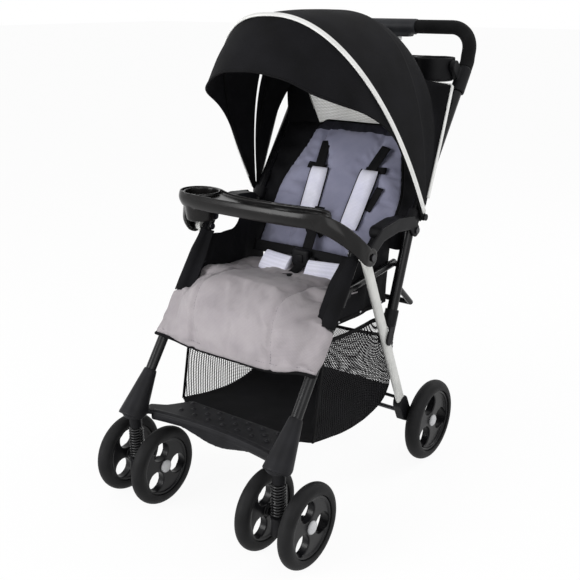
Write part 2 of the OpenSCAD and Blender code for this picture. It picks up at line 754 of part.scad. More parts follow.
// The handle's bar: straight out of the bracket, a slight bend, then a bow in a leaning plane
bow_lean = 17;
root_len = 14;
root_bend = 60;
bar_root = push_top + push_dir * 1;
bar_turn = push_top + push_dir * root_len;
turn_middle = bar_turn + root_bend * [0, -cos(push_lean), sin(push_lean)];
bar_knee = turn_middle + root_bend * [0, cos(bow_lean), -sin(bow_lean)];
bow_dir = [0, sin(bow_lean), cos(bow_lean)];
bow_top = bar_knee + bow_dir * (handle_z - bar_knee[2]) / cos(bow_lean);
bow_side = bow_top - bow_dir * handle_bend;
handle_y = bow_top[1];

// Stations of the right half of the handle: a point and the two directions of its section
turn_steps = 3;
corner_steps = 7;
handle_normal = [0, cos(bow_lean), -sin(bow_lean)];
function handle_stations(x_end) = concat(
    [for (i = [0 : turn_steps]) let (a = mix(push_lean, bow_lean, i / turn_steps), m = [0, cos(a), -sin(a)])
        [turn_middle + root_bend * m, [1, 0, 0], m]],
    [for (i = [0 : corner_steps]) let (a = 90 * i / corner_steps, w = [1, 0, 0] * cos(a) + bow_dir * sin(a))
        [bow_side - [handle_bend, 0, 0] + handle_bend * w, w, handle_normal]],
    [[[x_end, bow_top[1], bow_top[2]], bow_dir, handle_normal]]);
function handle_ring(s, d, sides) = [for (k = [0 : sides - 1]) let (b = k * 360 / sides)
    s[0] + d / 2 * (cos(b) * s[1] + sin(b) * s[2])];

// Closed tube through rings of equal size, solid at its ends
module sweep(rings) {
    n = len(rings);
    k = len(rings[0]);
    last = (n - 1) * k;
    polyhedron(
        points = [for (r = rings) each r],
        faces = concat(
            [for (i = [0 : n - 2], j = [0 : k - 1]) let (a = i * k + j, b = i * k + (j + 1) % k) each [
                [a, b, b + k], [a, b + k, a + k]]],
            [for (j = [1 : k - 2]) each [[0, j + 1, j], [last, last + j, last + j + 1]]]),
        convexity = 6);
}

module handle_bar() {
    sides = 20;
    half = handle_stations(0);
    root = [bar_root, [1, 0, 0], [0, cos(push_lean), -sin(push_lean)]];
    right = concat([root], [for (i = [0 : len(half) - 2]) half[i]]);
    left = [for (i = [len(right) - 1 : -1 : 0]) let (q = right[i])
        [[-q[0][0], q[0][1], q[0][2]], [-q[1][0], q[1][1], q[1][2]], q[2]]];
    color(black) sweep([for (q = concat(right, left)) handle_ring(q, bar_d, sides)]);
}

// Foam grips: hollow sleeves over the handle's bar
module handle_grips() {
    sides = 16;
    path = handle_stations(housing_half + side_gap);
    n = len(path);
    bore = (bar_d + 2 * fix_gap) / cos(180 / sides);
    rings = concat(
        [for (q = path) handle_ring(q, grip_d, sides)],
        [for (i = [n - 1 : -1 : 0]) handle_ring(path[i], bore, sides)]);
    m = len(rings);
    color(black) for (s = [-1, 1]) sided(s) polyhedron(
        points = [for (r = rings) each r],
        faces = [for (i = [0 : m - 1], j = [0 : sides - 1]) let (
            a = i * sides + j,
            b = i * sides + (j + 1) % sides,
            c = ((i + 1) % m) * sides + j,
            d = ((i + 1) % m) * sides + (j + 1) % sides) each [[a, b, d], [a, d, c]]],
        convexity = 8);
}

// Middle housing of the handle with the fold trigger in its underside
housing_d = 34;
trigger_half = 26;
trigger_w = 15;
module handle_housing()
    color(plastic) difference() {
        union() {
            x_bar(handle_y, handle_z, housing_d, -housing_half, housing_half);
            translate([-housing_half + 14, handle_y - housing_d / 2 + 4, handle_z - housing_d / 2 - 5])
                cube([2 * housing_half - 28, housing_d - 8, housing_d / 2]);
        }
        x_bar(handle_y, handle_z, bar_d + 2 * fix_gap, -housing_half - 1, housing_half + 1);
        translate([-trigger_half - side_gap, handle_y - trigger_w / 2 - side_gap, handle_z - housing_d])
            cube([2 * (trigger_half + side_gap), trigger_w + 2 * side_gap, housing_d]);
    }

module fold_trigger()
    color("#dcdcdc") difference() {
        translate([-trigger_half, handle_y - trigger_w / 2, handle_z - bar_d / 2 - trigger_travel - 14])
            cube([2 * trigger_half, trigger_w, 13]);
        x_bar(handle_y, handle_z, bar_d + 2, -trigger_half - 1, trigger_half + 1);
    }

module parent_tray() {
    outer_r = parent_cup_d / 2 + parent_wall;
    floor_t = 4;
    deep = parent_cup_depth + floor_t;
    box_half = outer_r - 8;
    box_depth = 32;
    pocket_half = parent_cup_x - outer_r - 4;
    color(plastic) difference() {
        union() {
            for (s = [-1, 1]) translate([s * parent_cup_x, parent_cup_y, parent_z - deep]) {
                translate([0, 0, floor_t]) cylinder(h = deep - floor_t, r = outer_r);
                cylinder(h = floor_t, r1 = outer_r - 5, r2 = outer_r);
            }
            translate([-parent_cup_x, parent_cup_y - box_half, parent_z - box_depth - floor_t])
                cube([2 * parent_cup_x, 2 * box_half, box_depth + floor_t]);
        }
        for (s = [-1, 1]) translate([s * parent_cup_x, parent_cup_y, parent_z - parent_cup_depth])
            cylinder(h = parent_cup_depth + 1, d = parent_cup_d);
        translate([-pocket_half, parent_cup_y - box_half + parent_wall, parent_z - box_depth])
            cube([2 * pocket_half, 2 * (box_half - parent_wall), box_depth + 1]);
    }
}

// Sleeves that join the handle to the push tubes and carry the parent tray
module tray_brackets() {
    low = push_top - push_dir * 44;
    high = bar_turn - push_dir * seat_gap;
    plate_x0 = parent_cup_x + parent_cup_d / 2 + parent_wall + seat_gap;
    color(plastic) for (s = [-1, 1]) sided(s) difference() {
        union() {
            rod(low, high, sleeve_d);
            x_plate(plate_x0, push_x)
                link([parent_cup_y - 6, parent_z - 18], [push_top[1] - 8, push_top[2] - 8], 13);
        }
        rod(low - push_dir, push_top + push_dir * 0.5, push_d + 2 * fix_gap);
        rod(push_top, high + push_dir, bar_d + 2 * fix_gap);
    }
}

// Hood: every piece of it swings about the pivot, so its sections are drawn on planes through that line

// Half arch with round shoulders: a is 0 at the right foot and 180 at the left
function arch(a, half, height, power) = let (c = cos(a), k = sin(a))
    [half * sign(c) * pow(abs(c), 2 / power), height * pow(max(k, 0), 2 / power)];
// A point at tilt t (forward of upright), at arch point p
function hood_point(p, t) = [p[0], hood_y - p[1] * sin(t), hood_z + p[1] * cos(t)];
function hood_radius(t) =
    t > bow_tilt ? mix(hood_bow_r, hood_visor_r, (t - bow_tilt) / (visor_tilt - bow_tilt))
    : mix(hood_rear_r, hood_bow_r, pow(max(t, 0) / bow_tilt, 1.8));
function hood_power(t) = mix(2.8, 2.35, max(0, min(1, t / bow_tilt)));
arch_from = 1.2;
arch_steps = 28;
function arch_angle(j) = mix(arch_from, 180 - arch_from, j / arch_steps);
// The visor reaches further forward over the top than at the sides
function hood_front(a) = mix(bow_tilt + 1.2, visor_tilt, ease((sin(a) - 0.3) / 0.6));
hood_rows = 9;
bow_row_at = 6;
function hood_grid(inset) = [for (i = [0 : hood_rows]) [for (j = [arch_steps : -1 : 0]) let (
    a = arch_angle(j),
    t = i < bow_row_at ? mix(hood_from, bow_tilt, i / bow_row_at)
        : mix(bow_tilt, hood_front(a), (i - bow_row_at) / (hood_rows - bow_row_at)))
    hood_point(arch(a, hood_half - inset, hood_radius(t) - inset, hood_power(t)), t)]];

module hood()
    color(black) difference() {
        skin(hood_grid(0), hood_grid(cloth_t));
        x_bar(hood_y, hood_z, pin_d + 1, -2 * hood_half, 2 * hood_half);
    }

rear_rows = 8;
rear_start = hood_from + 2.5;
rear_drop = 124;
function rear_radius(t) = mix(hood_rear_r - 6, hood_rear_r - rear_drop, ease(max(0, -1 - t) / (-1 - rear_panel_to) * 0.75) / 0.84375);
// Round enough in front to pass under the hood as that folds back, and squarer towards the rear
function rear_power(t) = mix(2.5, 3.2, ease((-2 - t) / 16));
// The rear edge is drawn out to square corners
function rear_square(t) = 0.9 * ease((-17.5 - t) / (-17.5 - rear_panel_to));
function rear_point(p, half, height, t) = p * mix(1, min(half / max(1, abs(p[0])), height / max(1, p[1])), rear_square(t));
function rear_grid(inset) = [for (i = [0 : rear_rows]) [for (j = [arch_steps : -1 : 0]) let (
    t = mix(rear_panel_to, rear_start, i / rear_rows),
    half = rear_panel_half - inset,
    height = rear_radius(t) - inset,
    p = arch(arch_angle(j), half, height, rear_power(t)))
    hood_point(rear_point(p, half, height, t), t)]];

module hood_rear_panel()
    color(black) difference() {
        skin(rear_grid(0), rear_grid(cloth_t));
        x_bar(hood_y, hood_z, pin_d + 1, -2 * hood_half, 2 * hood_half);
    }

// A flat bow on one plane through the pivot, with an eye round the pin at each foot
bow_w = 9;
bow_steps = arch_steps;
function bow_angle(j) = arch_angle(j);
function bow_row(j, half, height, power, tilt, inset) = let (
    p = arch(bow_angle(j), half - inset, height - inset, power),
    m = hood_point(p, tilt),
    side = [0, cos(tilt), sin(tilt)] * bow_w / 2) [m + side, m - side];
module bow(half, height, power, tilt) {
    skin([for (j = [0 : bow_steps]) bow_row(j, half, height, power, tilt, 0)],
         [for (j = [0 : bow_steps]) bow_row(j, half, height, power, tilt, bow_t)]);
    for (s = [-1, 1]) sided(s) x_plate(half - bow_t - 0.3, half - 0.4) difference() {
        link([hood_y, hood_z], [hood_y - 42 * sin(tilt), hood_z + 42 * cos(tilt)], bow_w / 2 + 3);
        translate([hood_y, hood_z]) circle(d = pin_d + 2 * run_gap);
    }
}

module hood_front_bow()
    color(black) bow(front_bow_x1, hood_bow_r - cloth_t - 5, hood_power(bow_tilt), bow_tilt);

module hood_rear_bow()
    color(black) bow(rear_bow_half, rear_radius(0) - cloth_t - 3, rear_power(0), 0);

// Clips on the push tubes that carry the hood's pins
module hood_mounts() {
    on_tube = arm + push_dir * (mount_z - arm_z) / cos(push_lean);
    flat_x = push_x + push_d / 2 + 0.2;
    color(plastic) for (s = [-1, 1]) sided(s) {
        difference() {
            union() {
                rod(on_tube - push_dir * 13, on_tube + push_dir * 13, push_d + 7);
                x_bar(hood_y, hood_z, 20, push_x - 4, flat_x);
            }
            rod(arm, push_top, push_d + 2 * fix_gap);
            translate([flat_x, hood_y - 60, hood_z - 60]) cube(120);
        }
        x_bar(hood_y, hood_z, pin_d, push_x + push_d / 2 - 2, hood_half + seat_gap);
        x_bar(hood_y, hood_z, head_d, hood_half + seat_gap, hood_half + seat_gap + 2);
    }
}

// Seat

module seat_tubes()
    color(black) for (s = [-1, 1]) sided(s) {
        way = (seat_rear - seat_front) / norm(seat_rear - seat_front);
        difference() {
            rod(seat_front - way * seat_over, seat_rear + way * seat_over, seat_tube_d);
            rod(seat_front - way * 99, seat_rear + way * 99, seat_tube_d - 2 * tube_wall);
            rod(leg_foot, leg_top, 2 * (sleeve_r + side_gap + 1));
            x_bar(seat_front[1], seat_front[2], pin_d + 2 * run_gap, 0, 2 * seat_tube_x);
            x_bar(seat_rear[1], seat_rear[2], pin_d + 2 * side_gap, 0, 2 * seat_tube_x);
        }
    }

// Seat cushion: crowned between the channels, drawn in at its edges and hollowed under the child
cushion_rows = 10;
cushion_cols = 26;
cushion_y0 = seat_front[1] + 2;
cushion_y1 = seat_rear[1] - 48;
function cushion_point(i, j, top) = let (
    v = i / cushion_rows,
    u = j / cushion_cols * 2 - 1,
    draw = 1 - 0.045 * pow(abs(2 * v - 1), 4) * (top ? 1 : 0.5),
    x = u * seat_half * draw,
    edge = 1 - pow(abs(u), 6),
    dip = 16 * ease(v / 0.6) * (1 - pow(abs(u), 3)),
    z_top = seat_top - dip - 10 * pow(abs(u), 6) + 3 * edge - channel(x),
    z_low = seat_top - seat_t - 10 + 8 * pow(abs(u), 4)) [x, mix(cushion_y0, cushion_y1, v), top ? z_top : z_low];
module seat_cushion()
    color(grey_cloth) skin(
        [for (i = [0 : cushion_rows]) [for (j = [cushion_cols : -1 : 0]) cushion_point(i, j, true)]],
        [for (i = [0 : cushion_rows]) [for (j = [cushion_cols : -1 : 0]) cushion_point(i, j, false)]]);

// Cloth sides between the seat and the armrests, hanging in shallow folds
side_y0 = seat_front[1] + 8;
side_y1 = seat_rear[1] - 18;
side_folds = 4;
side_cols = 20;
function side_point(i, j, out) = let (
    u = j / side_cols,
    z = [seat_pin_z - 86 + 8 * u, seat_pin_z - 4, seat_pin_z + 26, arm_z - 21 + 4 * u][i],
    fold = i == 2 ? 1.3 * (1 + cos(u * side_folds * 360)) : 0)
    [side_x - fold - (out ? 0 : cloth_t), mix(side_y0, side_y1, u), z];
module side_panels()
    color(black) for (s = [-1, 1]) sided(s) skin(
        [for (i = [0 : 3]) [for (j = [side_cols : -1 : 0]) side_point(i, j, true)]],
        [for (i = [0 : 3]) [for (j = [side_cols : -1 : 0]) side_point(i, j, false)]]);

// Crotch strap with its buckle on the middle of the cushion
module harness_buckle() {
    strap_w = 26;
    buckle_y = seat_rear[1] - 92;
    base_z = cushion_point(7, cushion_cols / 2, true)[2] + seat_gap;
    color(black) translate([0, buckle_y, base_z + 0.6]) rotate([-20, 0, 0]) {
        translate([-strap_w / 2, -1.5, 0]) cube([strap_w, 3, 26]);
        translate([-24, -7, 20]) cube([48, 14, 34]);
    }
}

// Places a child on the backrest: z runs up the back from its pin, -y points at the child
module on_back() translate(back_pin) rotate([-back_lean, 0, 0]) children();

back_rows = 16;
back_cols = 24;
back_bottom = -30;
back_rear = pin_d / 2 + 2.5;
function back_width(v) = back_half - 34 * ease((v - 0.45) / 0.5) - 30 * pow(max(0, (v - 0.86) / 0.14), 3);
function back_point(i, j, front) = let (
    v = i / back_rows,
    u = j / back_cols * 2 - 1,
    x = u * back_width(v) * (front ? 1 - 0.03 * pow(abs(2 * v - 1), 4) : 1),
    edge = (1 - pow(abs(u), 6)) * (1 - pow(abs(2 * v - 1), 8)),
    b = back_rear + back_t * (0.45 + 0.55 * edge) - 0.8 * channel(x) * edge)
    [x, front ? -b : -back_rear, mix(back_bottom, back_len, v)];
module backrest()
    color(blue_grey) on_back() {
        skin([for (i = [0 : back_rows]) [for (j = [back_cols : -1 : 0]) back_point(i, j, true)]],
             [for (i = [0 : back_rows]) [for (j = [back_cols : -1 : 0]) back_point(i, j, false)]]);
        difference() {
            union() {
                translate([-back_half + 12, 0, 0]) rotate([0, 90, 0]) cylinder(h = 2 * back_half - 24, d = pin_d + 5);
                translate([-back_half + 12, -back_rear - 1, -5]) cube([2 * back_half - 24, back_rear + 1, 10]);
            }
            translate([-back_half, 0, 0]) rotate([0, 90, 0]) cylinder(h = 2 * back_half, d = pin_d + 2 * run_gap);
        }
    }

// Shoulder straps with soft pads, lying on the backrest
pad_rows = 8;
pad_cols = 6;
function pad_point(i, j, front) = let (
    v = i / pad_rows,
    u = j / pad_cols * 2 - 1,
    edge = (1 - pow(abs(u), 4)) * (1 - pow(abs(2 * v - 1), 6)),
    lie = back_rear + back_t + 0.5)
    [mix(56, 66, v) + 23 * u, -lie - (front ? 4 + 7 * edge : 0), mix(52, 182, v)];
module shoulder_straps()
    color(pad_white) on_back() for (s = [-1, 1]) sided(s) {
        skin([for (i = [0 : pad_rows]) [for (j = [pad_cols : -1 : 0]) pad_point(i, j, true)]],
             [for (i = [0 : pad_rows]) [for (j = [pad_cols : -1 : 0]) pad_point(i, j, false)]]);
        translate([58, -back_rear - back_t - 3.5, 176]) cube([24, 3, 68]);
    }

// Child tray: a crescent shell with a cup well and two arms that swing on the hubs

tray_half = tray_x0 - 0.2;
tray_steps = 16;
function tray_front(x) = hub_y - 106 + 26 * pow(x / tray_half, 4);
function tray_rear(x) = hub_y - 50 + 34 * pow(abs(x) / tray_half, 2);
// Height of the tray's top edge at x: flat over the child and falling to the arms
tray_fall = 40;
function tray_top(x) = tray_z - tray_fall * ease((abs(x) - 132) / 100);
module tray_side()
    polygon(concat(
        [for (i = [0 : 2 * tray_steps]) let (x = mix(-tray_half, tray_half, i / (2 * tray_steps))) [x, tray_top(x)]],
        [for (i = [2 * tray_steps : -1 : 0]) let (x = mix(-tray_half, tray_half, i / (2 * tray_steps))) [x, tray_top(x) - tray_skirt]]));
module tray_plan(g)
    polygon(concat(
        [for (i = [0 : tray_steps]) let (x = mix(-tray_half + g, tray_half - g, i / tray_steps)) [x, tray_front(x) + g]],
        [for (i = [tray_steps : -1 : 0]) let (x = mix(-tray_half + g, tray_half - g, i / tray_steps)) [x, tray_rear(x) - g]]));
child_cup_x = -152;
child_cup_y = hub_y - 60;
child_cup_depth = 50;
module child_tray() {
    top_t = 5;
    wall = 4;
    rim_h = 6;
    well_r = child_cup_d / 2 + 3;
    arm_r = 17;
    color(plastic) difference() {
        union() {
            intersection() {
                difference() {
                    translate([0, 0, tray_z - tray_fall - tray_skirt]) linear_extrude(tray_fall + tray_skirt) tray_plan(0);
                    translate([0, 0, 0]) linear_extrude(tray_z - rim_h - top_t) tray_plan(wall);
                    translate([0, 0, tray_z - rim_h]) linear_extrude(rim_h + 1) tray_plan(wall);
                }
                translate([0, 200, 0]) rotate([90, 0, 0]) linear_extrude(600) tray_side();
            }
            translate([child_cup_x, child_cup_y, tray_z - rim_h - child_cup_depth - 3])
                cylinder(h = child_cup_depth + 3, r = well_r);
            for (s = [-1, 1]) sided(s) x_plate(tray_x0 - 1, tray_x1) {
                band([[hub_y, hub_z], [hub_y - 32, hub_z + 32], [hub_y - 64, hub_z + 37]], arm_r);
            }
        }
        translate([child_cup_x, child_cup_y, tray_z - rim_h - child_cup_depth])
            cylinder(h = child_cup_depth + rim_h + 1, d = child_cup_d);
        x_bar(hub_y, hub_z, pin_d + 2 * run_gap, -2 * tray_x1, 2 * tray_x1);
        for (s = [-1, 1]) sided(s) translate([tray_x0 - 2, hub_y - 28, hub_z - 30]) cube([2, 60, 70]);
    }
}

front_leg(-1);  // front_leg_left
front_leg(1);  // front_leg_right
footrest();
hub_pins();
seat_brackets();
calf_panel();
basket();
castor_post(-1);  // castor_post_left
castor_post(1);  // castor_post_right
castor_spring(-1);  // castor_spring_left
castor_spring(1);  // castor_spring_right
axle_carrier(-1);  // axle_carrier_left
axle_carrier(1);  // axle_carrier_right
front_axle(-1);  // front_axle_left
front_axle(1);  // front_axle_right
front_tyre(-1, 1);  // front_tyre_left_outer
front_tyre(-1, -1);  // front_tyre_left_inner
front_tyre(1, -1);  // front_tyre_right_inner
front_tyre(1, 1);  // front_tyre_right_outer
front_rim(-1, 1);  // front_rim_left_outer
front_rim(-1, -1);  // front_rim_left_inner
front_rim(1, -1);  // front_rim_right_inner
front_rim(1, 1);  // front_rim_right_outer
rear_leg(-1);  // rear_leg_left
rear_leg(1);  // rear_leg_right
rear_housing(-1);  // rear_housing_left
rear_housing(1);  // rear_housing_right
rear_axle();
brake_bar();
rear_tyre(-1);  // rear_tyre_left
rear_tyre(1);  // rear_tyre_right
rear_rim(-1);  // rear_rim_left
rear_rim(1);  // rear_rim_right
armrest(-1);  // armrest_left
armrest(1);  // armrest_right
arm_pins();
push_tube(-1);  // push_tube_left
push_tube(1);  // push_tube_right
latch(-1);  // latch_left
latch(1);  // latch_right
support_bar();
recline_rod();
handle_bar();
handle_grips();
handle_housing();
fold_trigger();
parent_tray();
tray_brackets();
hood_mounts();
hood_rear_bow();
hood_rear_panel();
hood_front_bow();
hood();
seat_tubes();
seat_cushion();
side_panels();
harness_buckle();
backrest();
shoulder_straps();
child_tray();
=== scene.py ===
import json
from math import copysign, cos, exp, hypot, pi, radians, sin, tan
import bpy
import bmesh
import numpy as np
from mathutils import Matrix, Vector, noise


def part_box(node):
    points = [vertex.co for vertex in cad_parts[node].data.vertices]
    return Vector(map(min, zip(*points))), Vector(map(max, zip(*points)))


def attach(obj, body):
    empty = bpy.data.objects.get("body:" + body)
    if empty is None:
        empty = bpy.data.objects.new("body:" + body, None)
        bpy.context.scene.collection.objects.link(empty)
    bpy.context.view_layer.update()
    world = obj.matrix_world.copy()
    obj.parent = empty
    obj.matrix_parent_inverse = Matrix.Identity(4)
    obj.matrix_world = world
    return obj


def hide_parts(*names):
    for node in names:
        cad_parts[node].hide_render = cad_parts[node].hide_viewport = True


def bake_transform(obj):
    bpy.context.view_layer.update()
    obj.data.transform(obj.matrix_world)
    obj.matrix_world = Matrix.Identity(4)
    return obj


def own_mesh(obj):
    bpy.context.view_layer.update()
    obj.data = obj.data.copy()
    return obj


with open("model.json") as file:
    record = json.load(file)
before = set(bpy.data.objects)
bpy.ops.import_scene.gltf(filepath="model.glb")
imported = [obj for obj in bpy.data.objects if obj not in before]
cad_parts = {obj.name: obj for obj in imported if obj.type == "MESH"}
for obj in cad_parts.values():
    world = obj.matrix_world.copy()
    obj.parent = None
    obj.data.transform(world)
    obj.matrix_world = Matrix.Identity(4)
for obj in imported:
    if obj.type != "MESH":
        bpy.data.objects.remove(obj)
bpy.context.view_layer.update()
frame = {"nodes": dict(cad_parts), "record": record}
nodes = frame["nodes"]
scene = bpy.context.scene
print("frame loaded:", len(nodes), "nodes")


# Colours and nodes

def linear(hexColour):
    parts = [int(hexColour[i:i + 2], 16) / 255 for i in (1, 3, 5)]
    return [p / 12.92 if p <= 0.04045 else ((p + 0.055) / 1.055) ** 2.4 for p in parts] + [1.0]


# Inputs are plain values or the outputs of other nodes
def feed(node, inputs):
    for key, value in inputs.items():
        if isinstance(value, bpy.types.NodeSocket):
            node.id_data.links.new(value, node.inputs[key])
        else:
            node.inputs[key].default_value = value


def addNode(tree, kind, inputs=None, **settings):
    made = tree.nodes.new(tree.bl_idname.replace("Tree", kind))
    for key, value in settings.items():
        setattr(made, key, value)
    feed(made, inputs or {})
    return made


def newMaterial(name):
    made = bpy.data.materials.new(name)
    made.use_nodes = True
    tree = made.node_tree
    tree.nodes.clear()
    shader = addNode(tree, "BsdfPrincipled")
    out = addNode(tree, "OutputMaterial", {"Surface": shader.outputs[0]})
    return made, tree, shader, addNode(tree, "TexCoord"), out


# Sizes are in metres
def noiseOf(tree, coords, size, detail):
    return addNode(tree, "TexNoise", {
        "Vector": coords.outputs["Object"], "Scale": 1 / size, "Detail": detail}).outputs["Fac"]


# Two close tones of one colour, mixed by a soft noise
def mottle(tree, coords, dark, light, size):
    ramp = addNode(tree, "ValToRGB", {"Fac": noiseOf(tree, coords, size, 3.0)})
    for element, place, colour in zip(ramp.color_ramp.elements, (0.3, 0.7), (dark, light)):
        element.position = place
        element.color = linear(colour)
    return ramp.outputs["Color"]


# Moulded, painted or rubbed surfaces: mottled colour, uneven gloss and a fine grain
def hardFinish(name, dark, light, rough, grain, depth, specular=0.3, coat=0.0, metallic=0.0):
    made, tree, shader, coords, out = newMaterial(name)
    gloss = addNode(tree, "MapRange", {
        "Value": noiseOf(tree, coords, 0.02, 4.0), "To Min": rough - 0.06, "To Max": rough + 0.08})
    bump = addNode(tree, "Bump", {
        "Height": noiseOf(tree, coords, grain, 2.0), "Distance": depth, "Strength": 1.0})
    feed(shader, {
        "Base Color": mottle(tree, coords, dark, light, 0.035), "Roughness": gloss.outputs["Result"],
        "Normal": bump.outputs["Normal"], "Metallic": metallic, "Coat Weight": coat, "Coat Roughness": 0.15})
    if metallic == 0:
        feed(shader, {"IOR": 1.49, "Specular IOR Level": specular})
    return made


# The wave texture repeats after this length at scale 1
wavePeriod = 0.314


# Plain-woven cloth on a UV map that is in metres: warp and weft bands raise the surface, and the same bands
# paint shade in the low gaps between threads and a highlight on their crowns
def wovenCloth(name, dark, light, thread, depth, specular=0.12, rough=0.85, sheen=0.0, holes=0.0, turn=0.0):
    made, tree, shader, coords, out = newMaterial(name)
    turned = addNode(tree, "Mapping", {
        "Vector": coords.outputs["UV"], "Rotation": (0, 0, radians(turn))})
    wave = {"Vector": turned.outputs["Vector"], "Scale": wavePeriod / thread, "Detail": 1.0,
            "Detail Scale": 3.0, "Distortion": 0.0 if holes > 0 else 0.6}
    warp, weft = [addNode(tree, "TexWave", wave, bands_direction=way).outputs["Fac"] for way in ("X", "Y")]
    weave = addNode(tree, "Math", {0: warp, 1: weft}, operation="MULTIPLY").outputs["Value"]
    # Painted shade and highlight of the weave: the colour is scaled from 0.55 in the gaps between threads to
    # 1.15 on their crowns
    lift = addNode(tree, "MapRange", {"Value": weave, "To Min": 0.55, "To Max": 1.15})
    shade = addNode(tree, "Mix", {
        "Factor": 0.35, "A": mottle(tree, coords, dark, light, 0.06), "B": lift.outputs["Result"]},
        data_type="RGBA", blend_type="MULTIPLY")
    height = addNode(tree, "Math", {
        0: noiseOf(tree, coords, 0.03, 3.0), 1: 3.0, 2: weave}, operation="MULTIPLY_ADD")
    bump = addNode(tree, "Bump", {"Height": height.outputs["Value"], "Distance": depth, "Strength": 0.8})
    feed(shader, {
        "Base Color": shade.outputs["Result"], "Normal": bump.outputs["Normal"], "Roughness": rough,
        "Specular IOR Level": specular, "Sheen Weight": sheen, "Sheen Roughness": 0.5})
    if holes > 0:
        solid = addNode(tree, "Math", {0: weave, 1: 1 - holes}, operation="LESS_THAN")
        feed(shader, {"Alpha": solid.outputs["Value"]})
    return made


# Each finish is named for what the real piece is made of
finishes = {
    "tube": hardFinish("powderCoatBlack", "#0b0b0d", "#131315", 0.25, 0.0012, 0.00002, 0.22, 0.04),
    "silver": hardFinish("silverPaint", "#c3c4c1", "#d2d2cf", 0.36, 0.001, 0.00002, coat=0.2),
    "steel": hardFinish("zincSteel", "#8f9092", "#b4b5b8", 0.32, 0.0008, 0.00002, metallic=1.0),
    "darkSteel": hardFinish("blackenedSteel", "#3a3a3c", "#4c4c4f", 0.36, 0.0008, 0.00002, metallic=1.0),
    "plastic": hardFinish("mouldedPolypropylene", "#111113", "#19191b", 0.46, 0.0016, 0.00006, 0.11),
    "footrest": hardFinish("charcoalPolypropylene", "#151517", "#1e1e21", 0.46, 0.002, 0.00008, 0.14),
    "tray": hardFinish("trayAbs", "#0f0e0e", "#161515", 0.2, 0.0012, 0.00001, 0.22),
    "trigger": hardFinish("paleAbs", "#d4d5d6", "#e4e5e6", 0.35, 0.001, 0.00002),
    "rim": hardFinish("rimNylon", "#0e0e10", "#161618", 0.3, 0.0012, 0.00003, 0.2),
    "tyre": hardFinish("tyreFoamRubber", "#141415", "#1d1d1e", 0.6, 0.0018, 0.0001, 0.15),
    "foam": hardFinish("gripFoam", "#0c0c0d", "#151516", 0.86, 0.0014, 0.0003, 0.15),
    "spring": hardFinish("blackedSpringWire", "#0a0a0b", "#121214", 0.28, 0.001, 0.00002, coat=0.2),
    "cap": hardFinish("greyHubCap", "#b2b3b5", "#c5c6c8", 0.42, 0.001, 0.00002),
    "housing": hardFinish("softTouchHousing", "#232427", "#2f3033", 0.5, 0.0018, 0.00006, 0.2),
    "hood": wovenCloth("hoodPolyester", "#0c0c0e", "#141417", 0.0026, 0.0003),
    "seat": wovenCloth("seatPolyester", "#9a9498", "#aaa4a7", 0.0026, 0.0003, 0.25, sheen=0.1),
    "back": wovenCloth("backPolyester", "#83849a", "#9394aa", 0.0026, 0.0003, 0.25, sheen=0.1),
    "pads": wovenCloth("padFleece", "#e4e4f8", "#f2f2ff", 0.003, 0.0004, 0.25, 0.9, 0.2),
    "binding": wovenCloth("blackBinding", "#09090a", "#111113", 0.0022, 0.00025),
    "piping": wovenCloth("whitePiping", "#e6e6e4", "#f4f4f2", 0.0022, 0.0002, 0.25, 0.8),
    "webbing": wovenCloth("harnessWebbing", "#0a0a0c", "#141416", 0.002, 0.0003, rough=0.7),
    "mesh": wovenCloth("basketMesh", "#161617", "#202022", 0.0054, 0.0003, rough=0.8, holes=0.9, turn=45.0),
    "rearMesh": wovenCloth("basketRearMesh", "#161617", "#202022", 0.0036, 0.0003, rough=0.8, holes=0.9,
                           turn=20.0),
    "window": wovenCloth("windowMesh", "#c9c9c4", "#dcdcd8", 0.0034, 0.0003, 0.25, 0.8, holes=0.72),
    "topMesh": wovenCloth("darkTopMesh", "#23232b", "#34343e", 0.0036, 0.0006),
    "thread": wovenCloth("greyThread", "#77727a", "#8a858c", 0.001, 0.0001),
}
print("finishes made:", len(finishes))


# Meshes

def newObject(name, mesh):
    made = bpy.data.objects.new(name, mesh)
    scene.collection.objects.link(made)
    return made


# A mesh object from points, faces and one UV pair for each point
def meshPiece(name, points, faces, finish, uvs=None):
    mesh = bpy.data.meshes.new(name)
    mesh.from_pydata([tuple(p) for p in points], [], [tuple(f) for f in faces])
    mesh.materials.append(finishes[finish])
    mesh.polygons.foreach_set("use_smooth", [True] * len(mesh.polygons))
    if uvs is not None:
        layer = mesh.uv_layers.new(name="flat")
        index = np.zeros(len(mesh.loops), np.int32)
        mesh.loops.foreach_get("vertex_index", index)
        layer.data.foreach_set("uv", np.asarray(uvs, np.float32)[index].ravel())
    mesh.update()
    return newObject(name, mesh)


def workPiece(name, work, materials):
    mesh = bpy.data.meshes.new(name)
    work.to_mesh(mesh)
    work.free()
    for material in materials:
        mesh.materials.append(material)
    return newObject(name, mesh)


# Points of a function of the shares across the columns and up the rows
def gridOf(rows, cols, point):
    return np.array([[point(j / (cols - 1), i / (rows - 1)) for j in range(cols)] for i in range(rows)])


def lengthsAlong(path):
    return np.concatenate([[0], np.cumsum(np.linalg.norm(np.diff(path, axis=0), axis=1))])


# Lengths along both ways of a grid, so that a weave keeps its size on a curved sheet
def flatUvs(grid):
    across = np.array([lengthsAlong(row) for row in grid])
    along = np.array([lengthsAlong(column) for column in grid.transpose(1, 0, 2)]).T
    return np.stack([across, along], axis=2).reshape(-1, 2)


def gridNormals(grid):
    normal = np.cross(np.gradient(grid, axis=0), np.gradient(grid, axis=1))
    return normal / np.maximum(np.linalg.norm(normal, axis=2, keepdims=True), 1e-9)


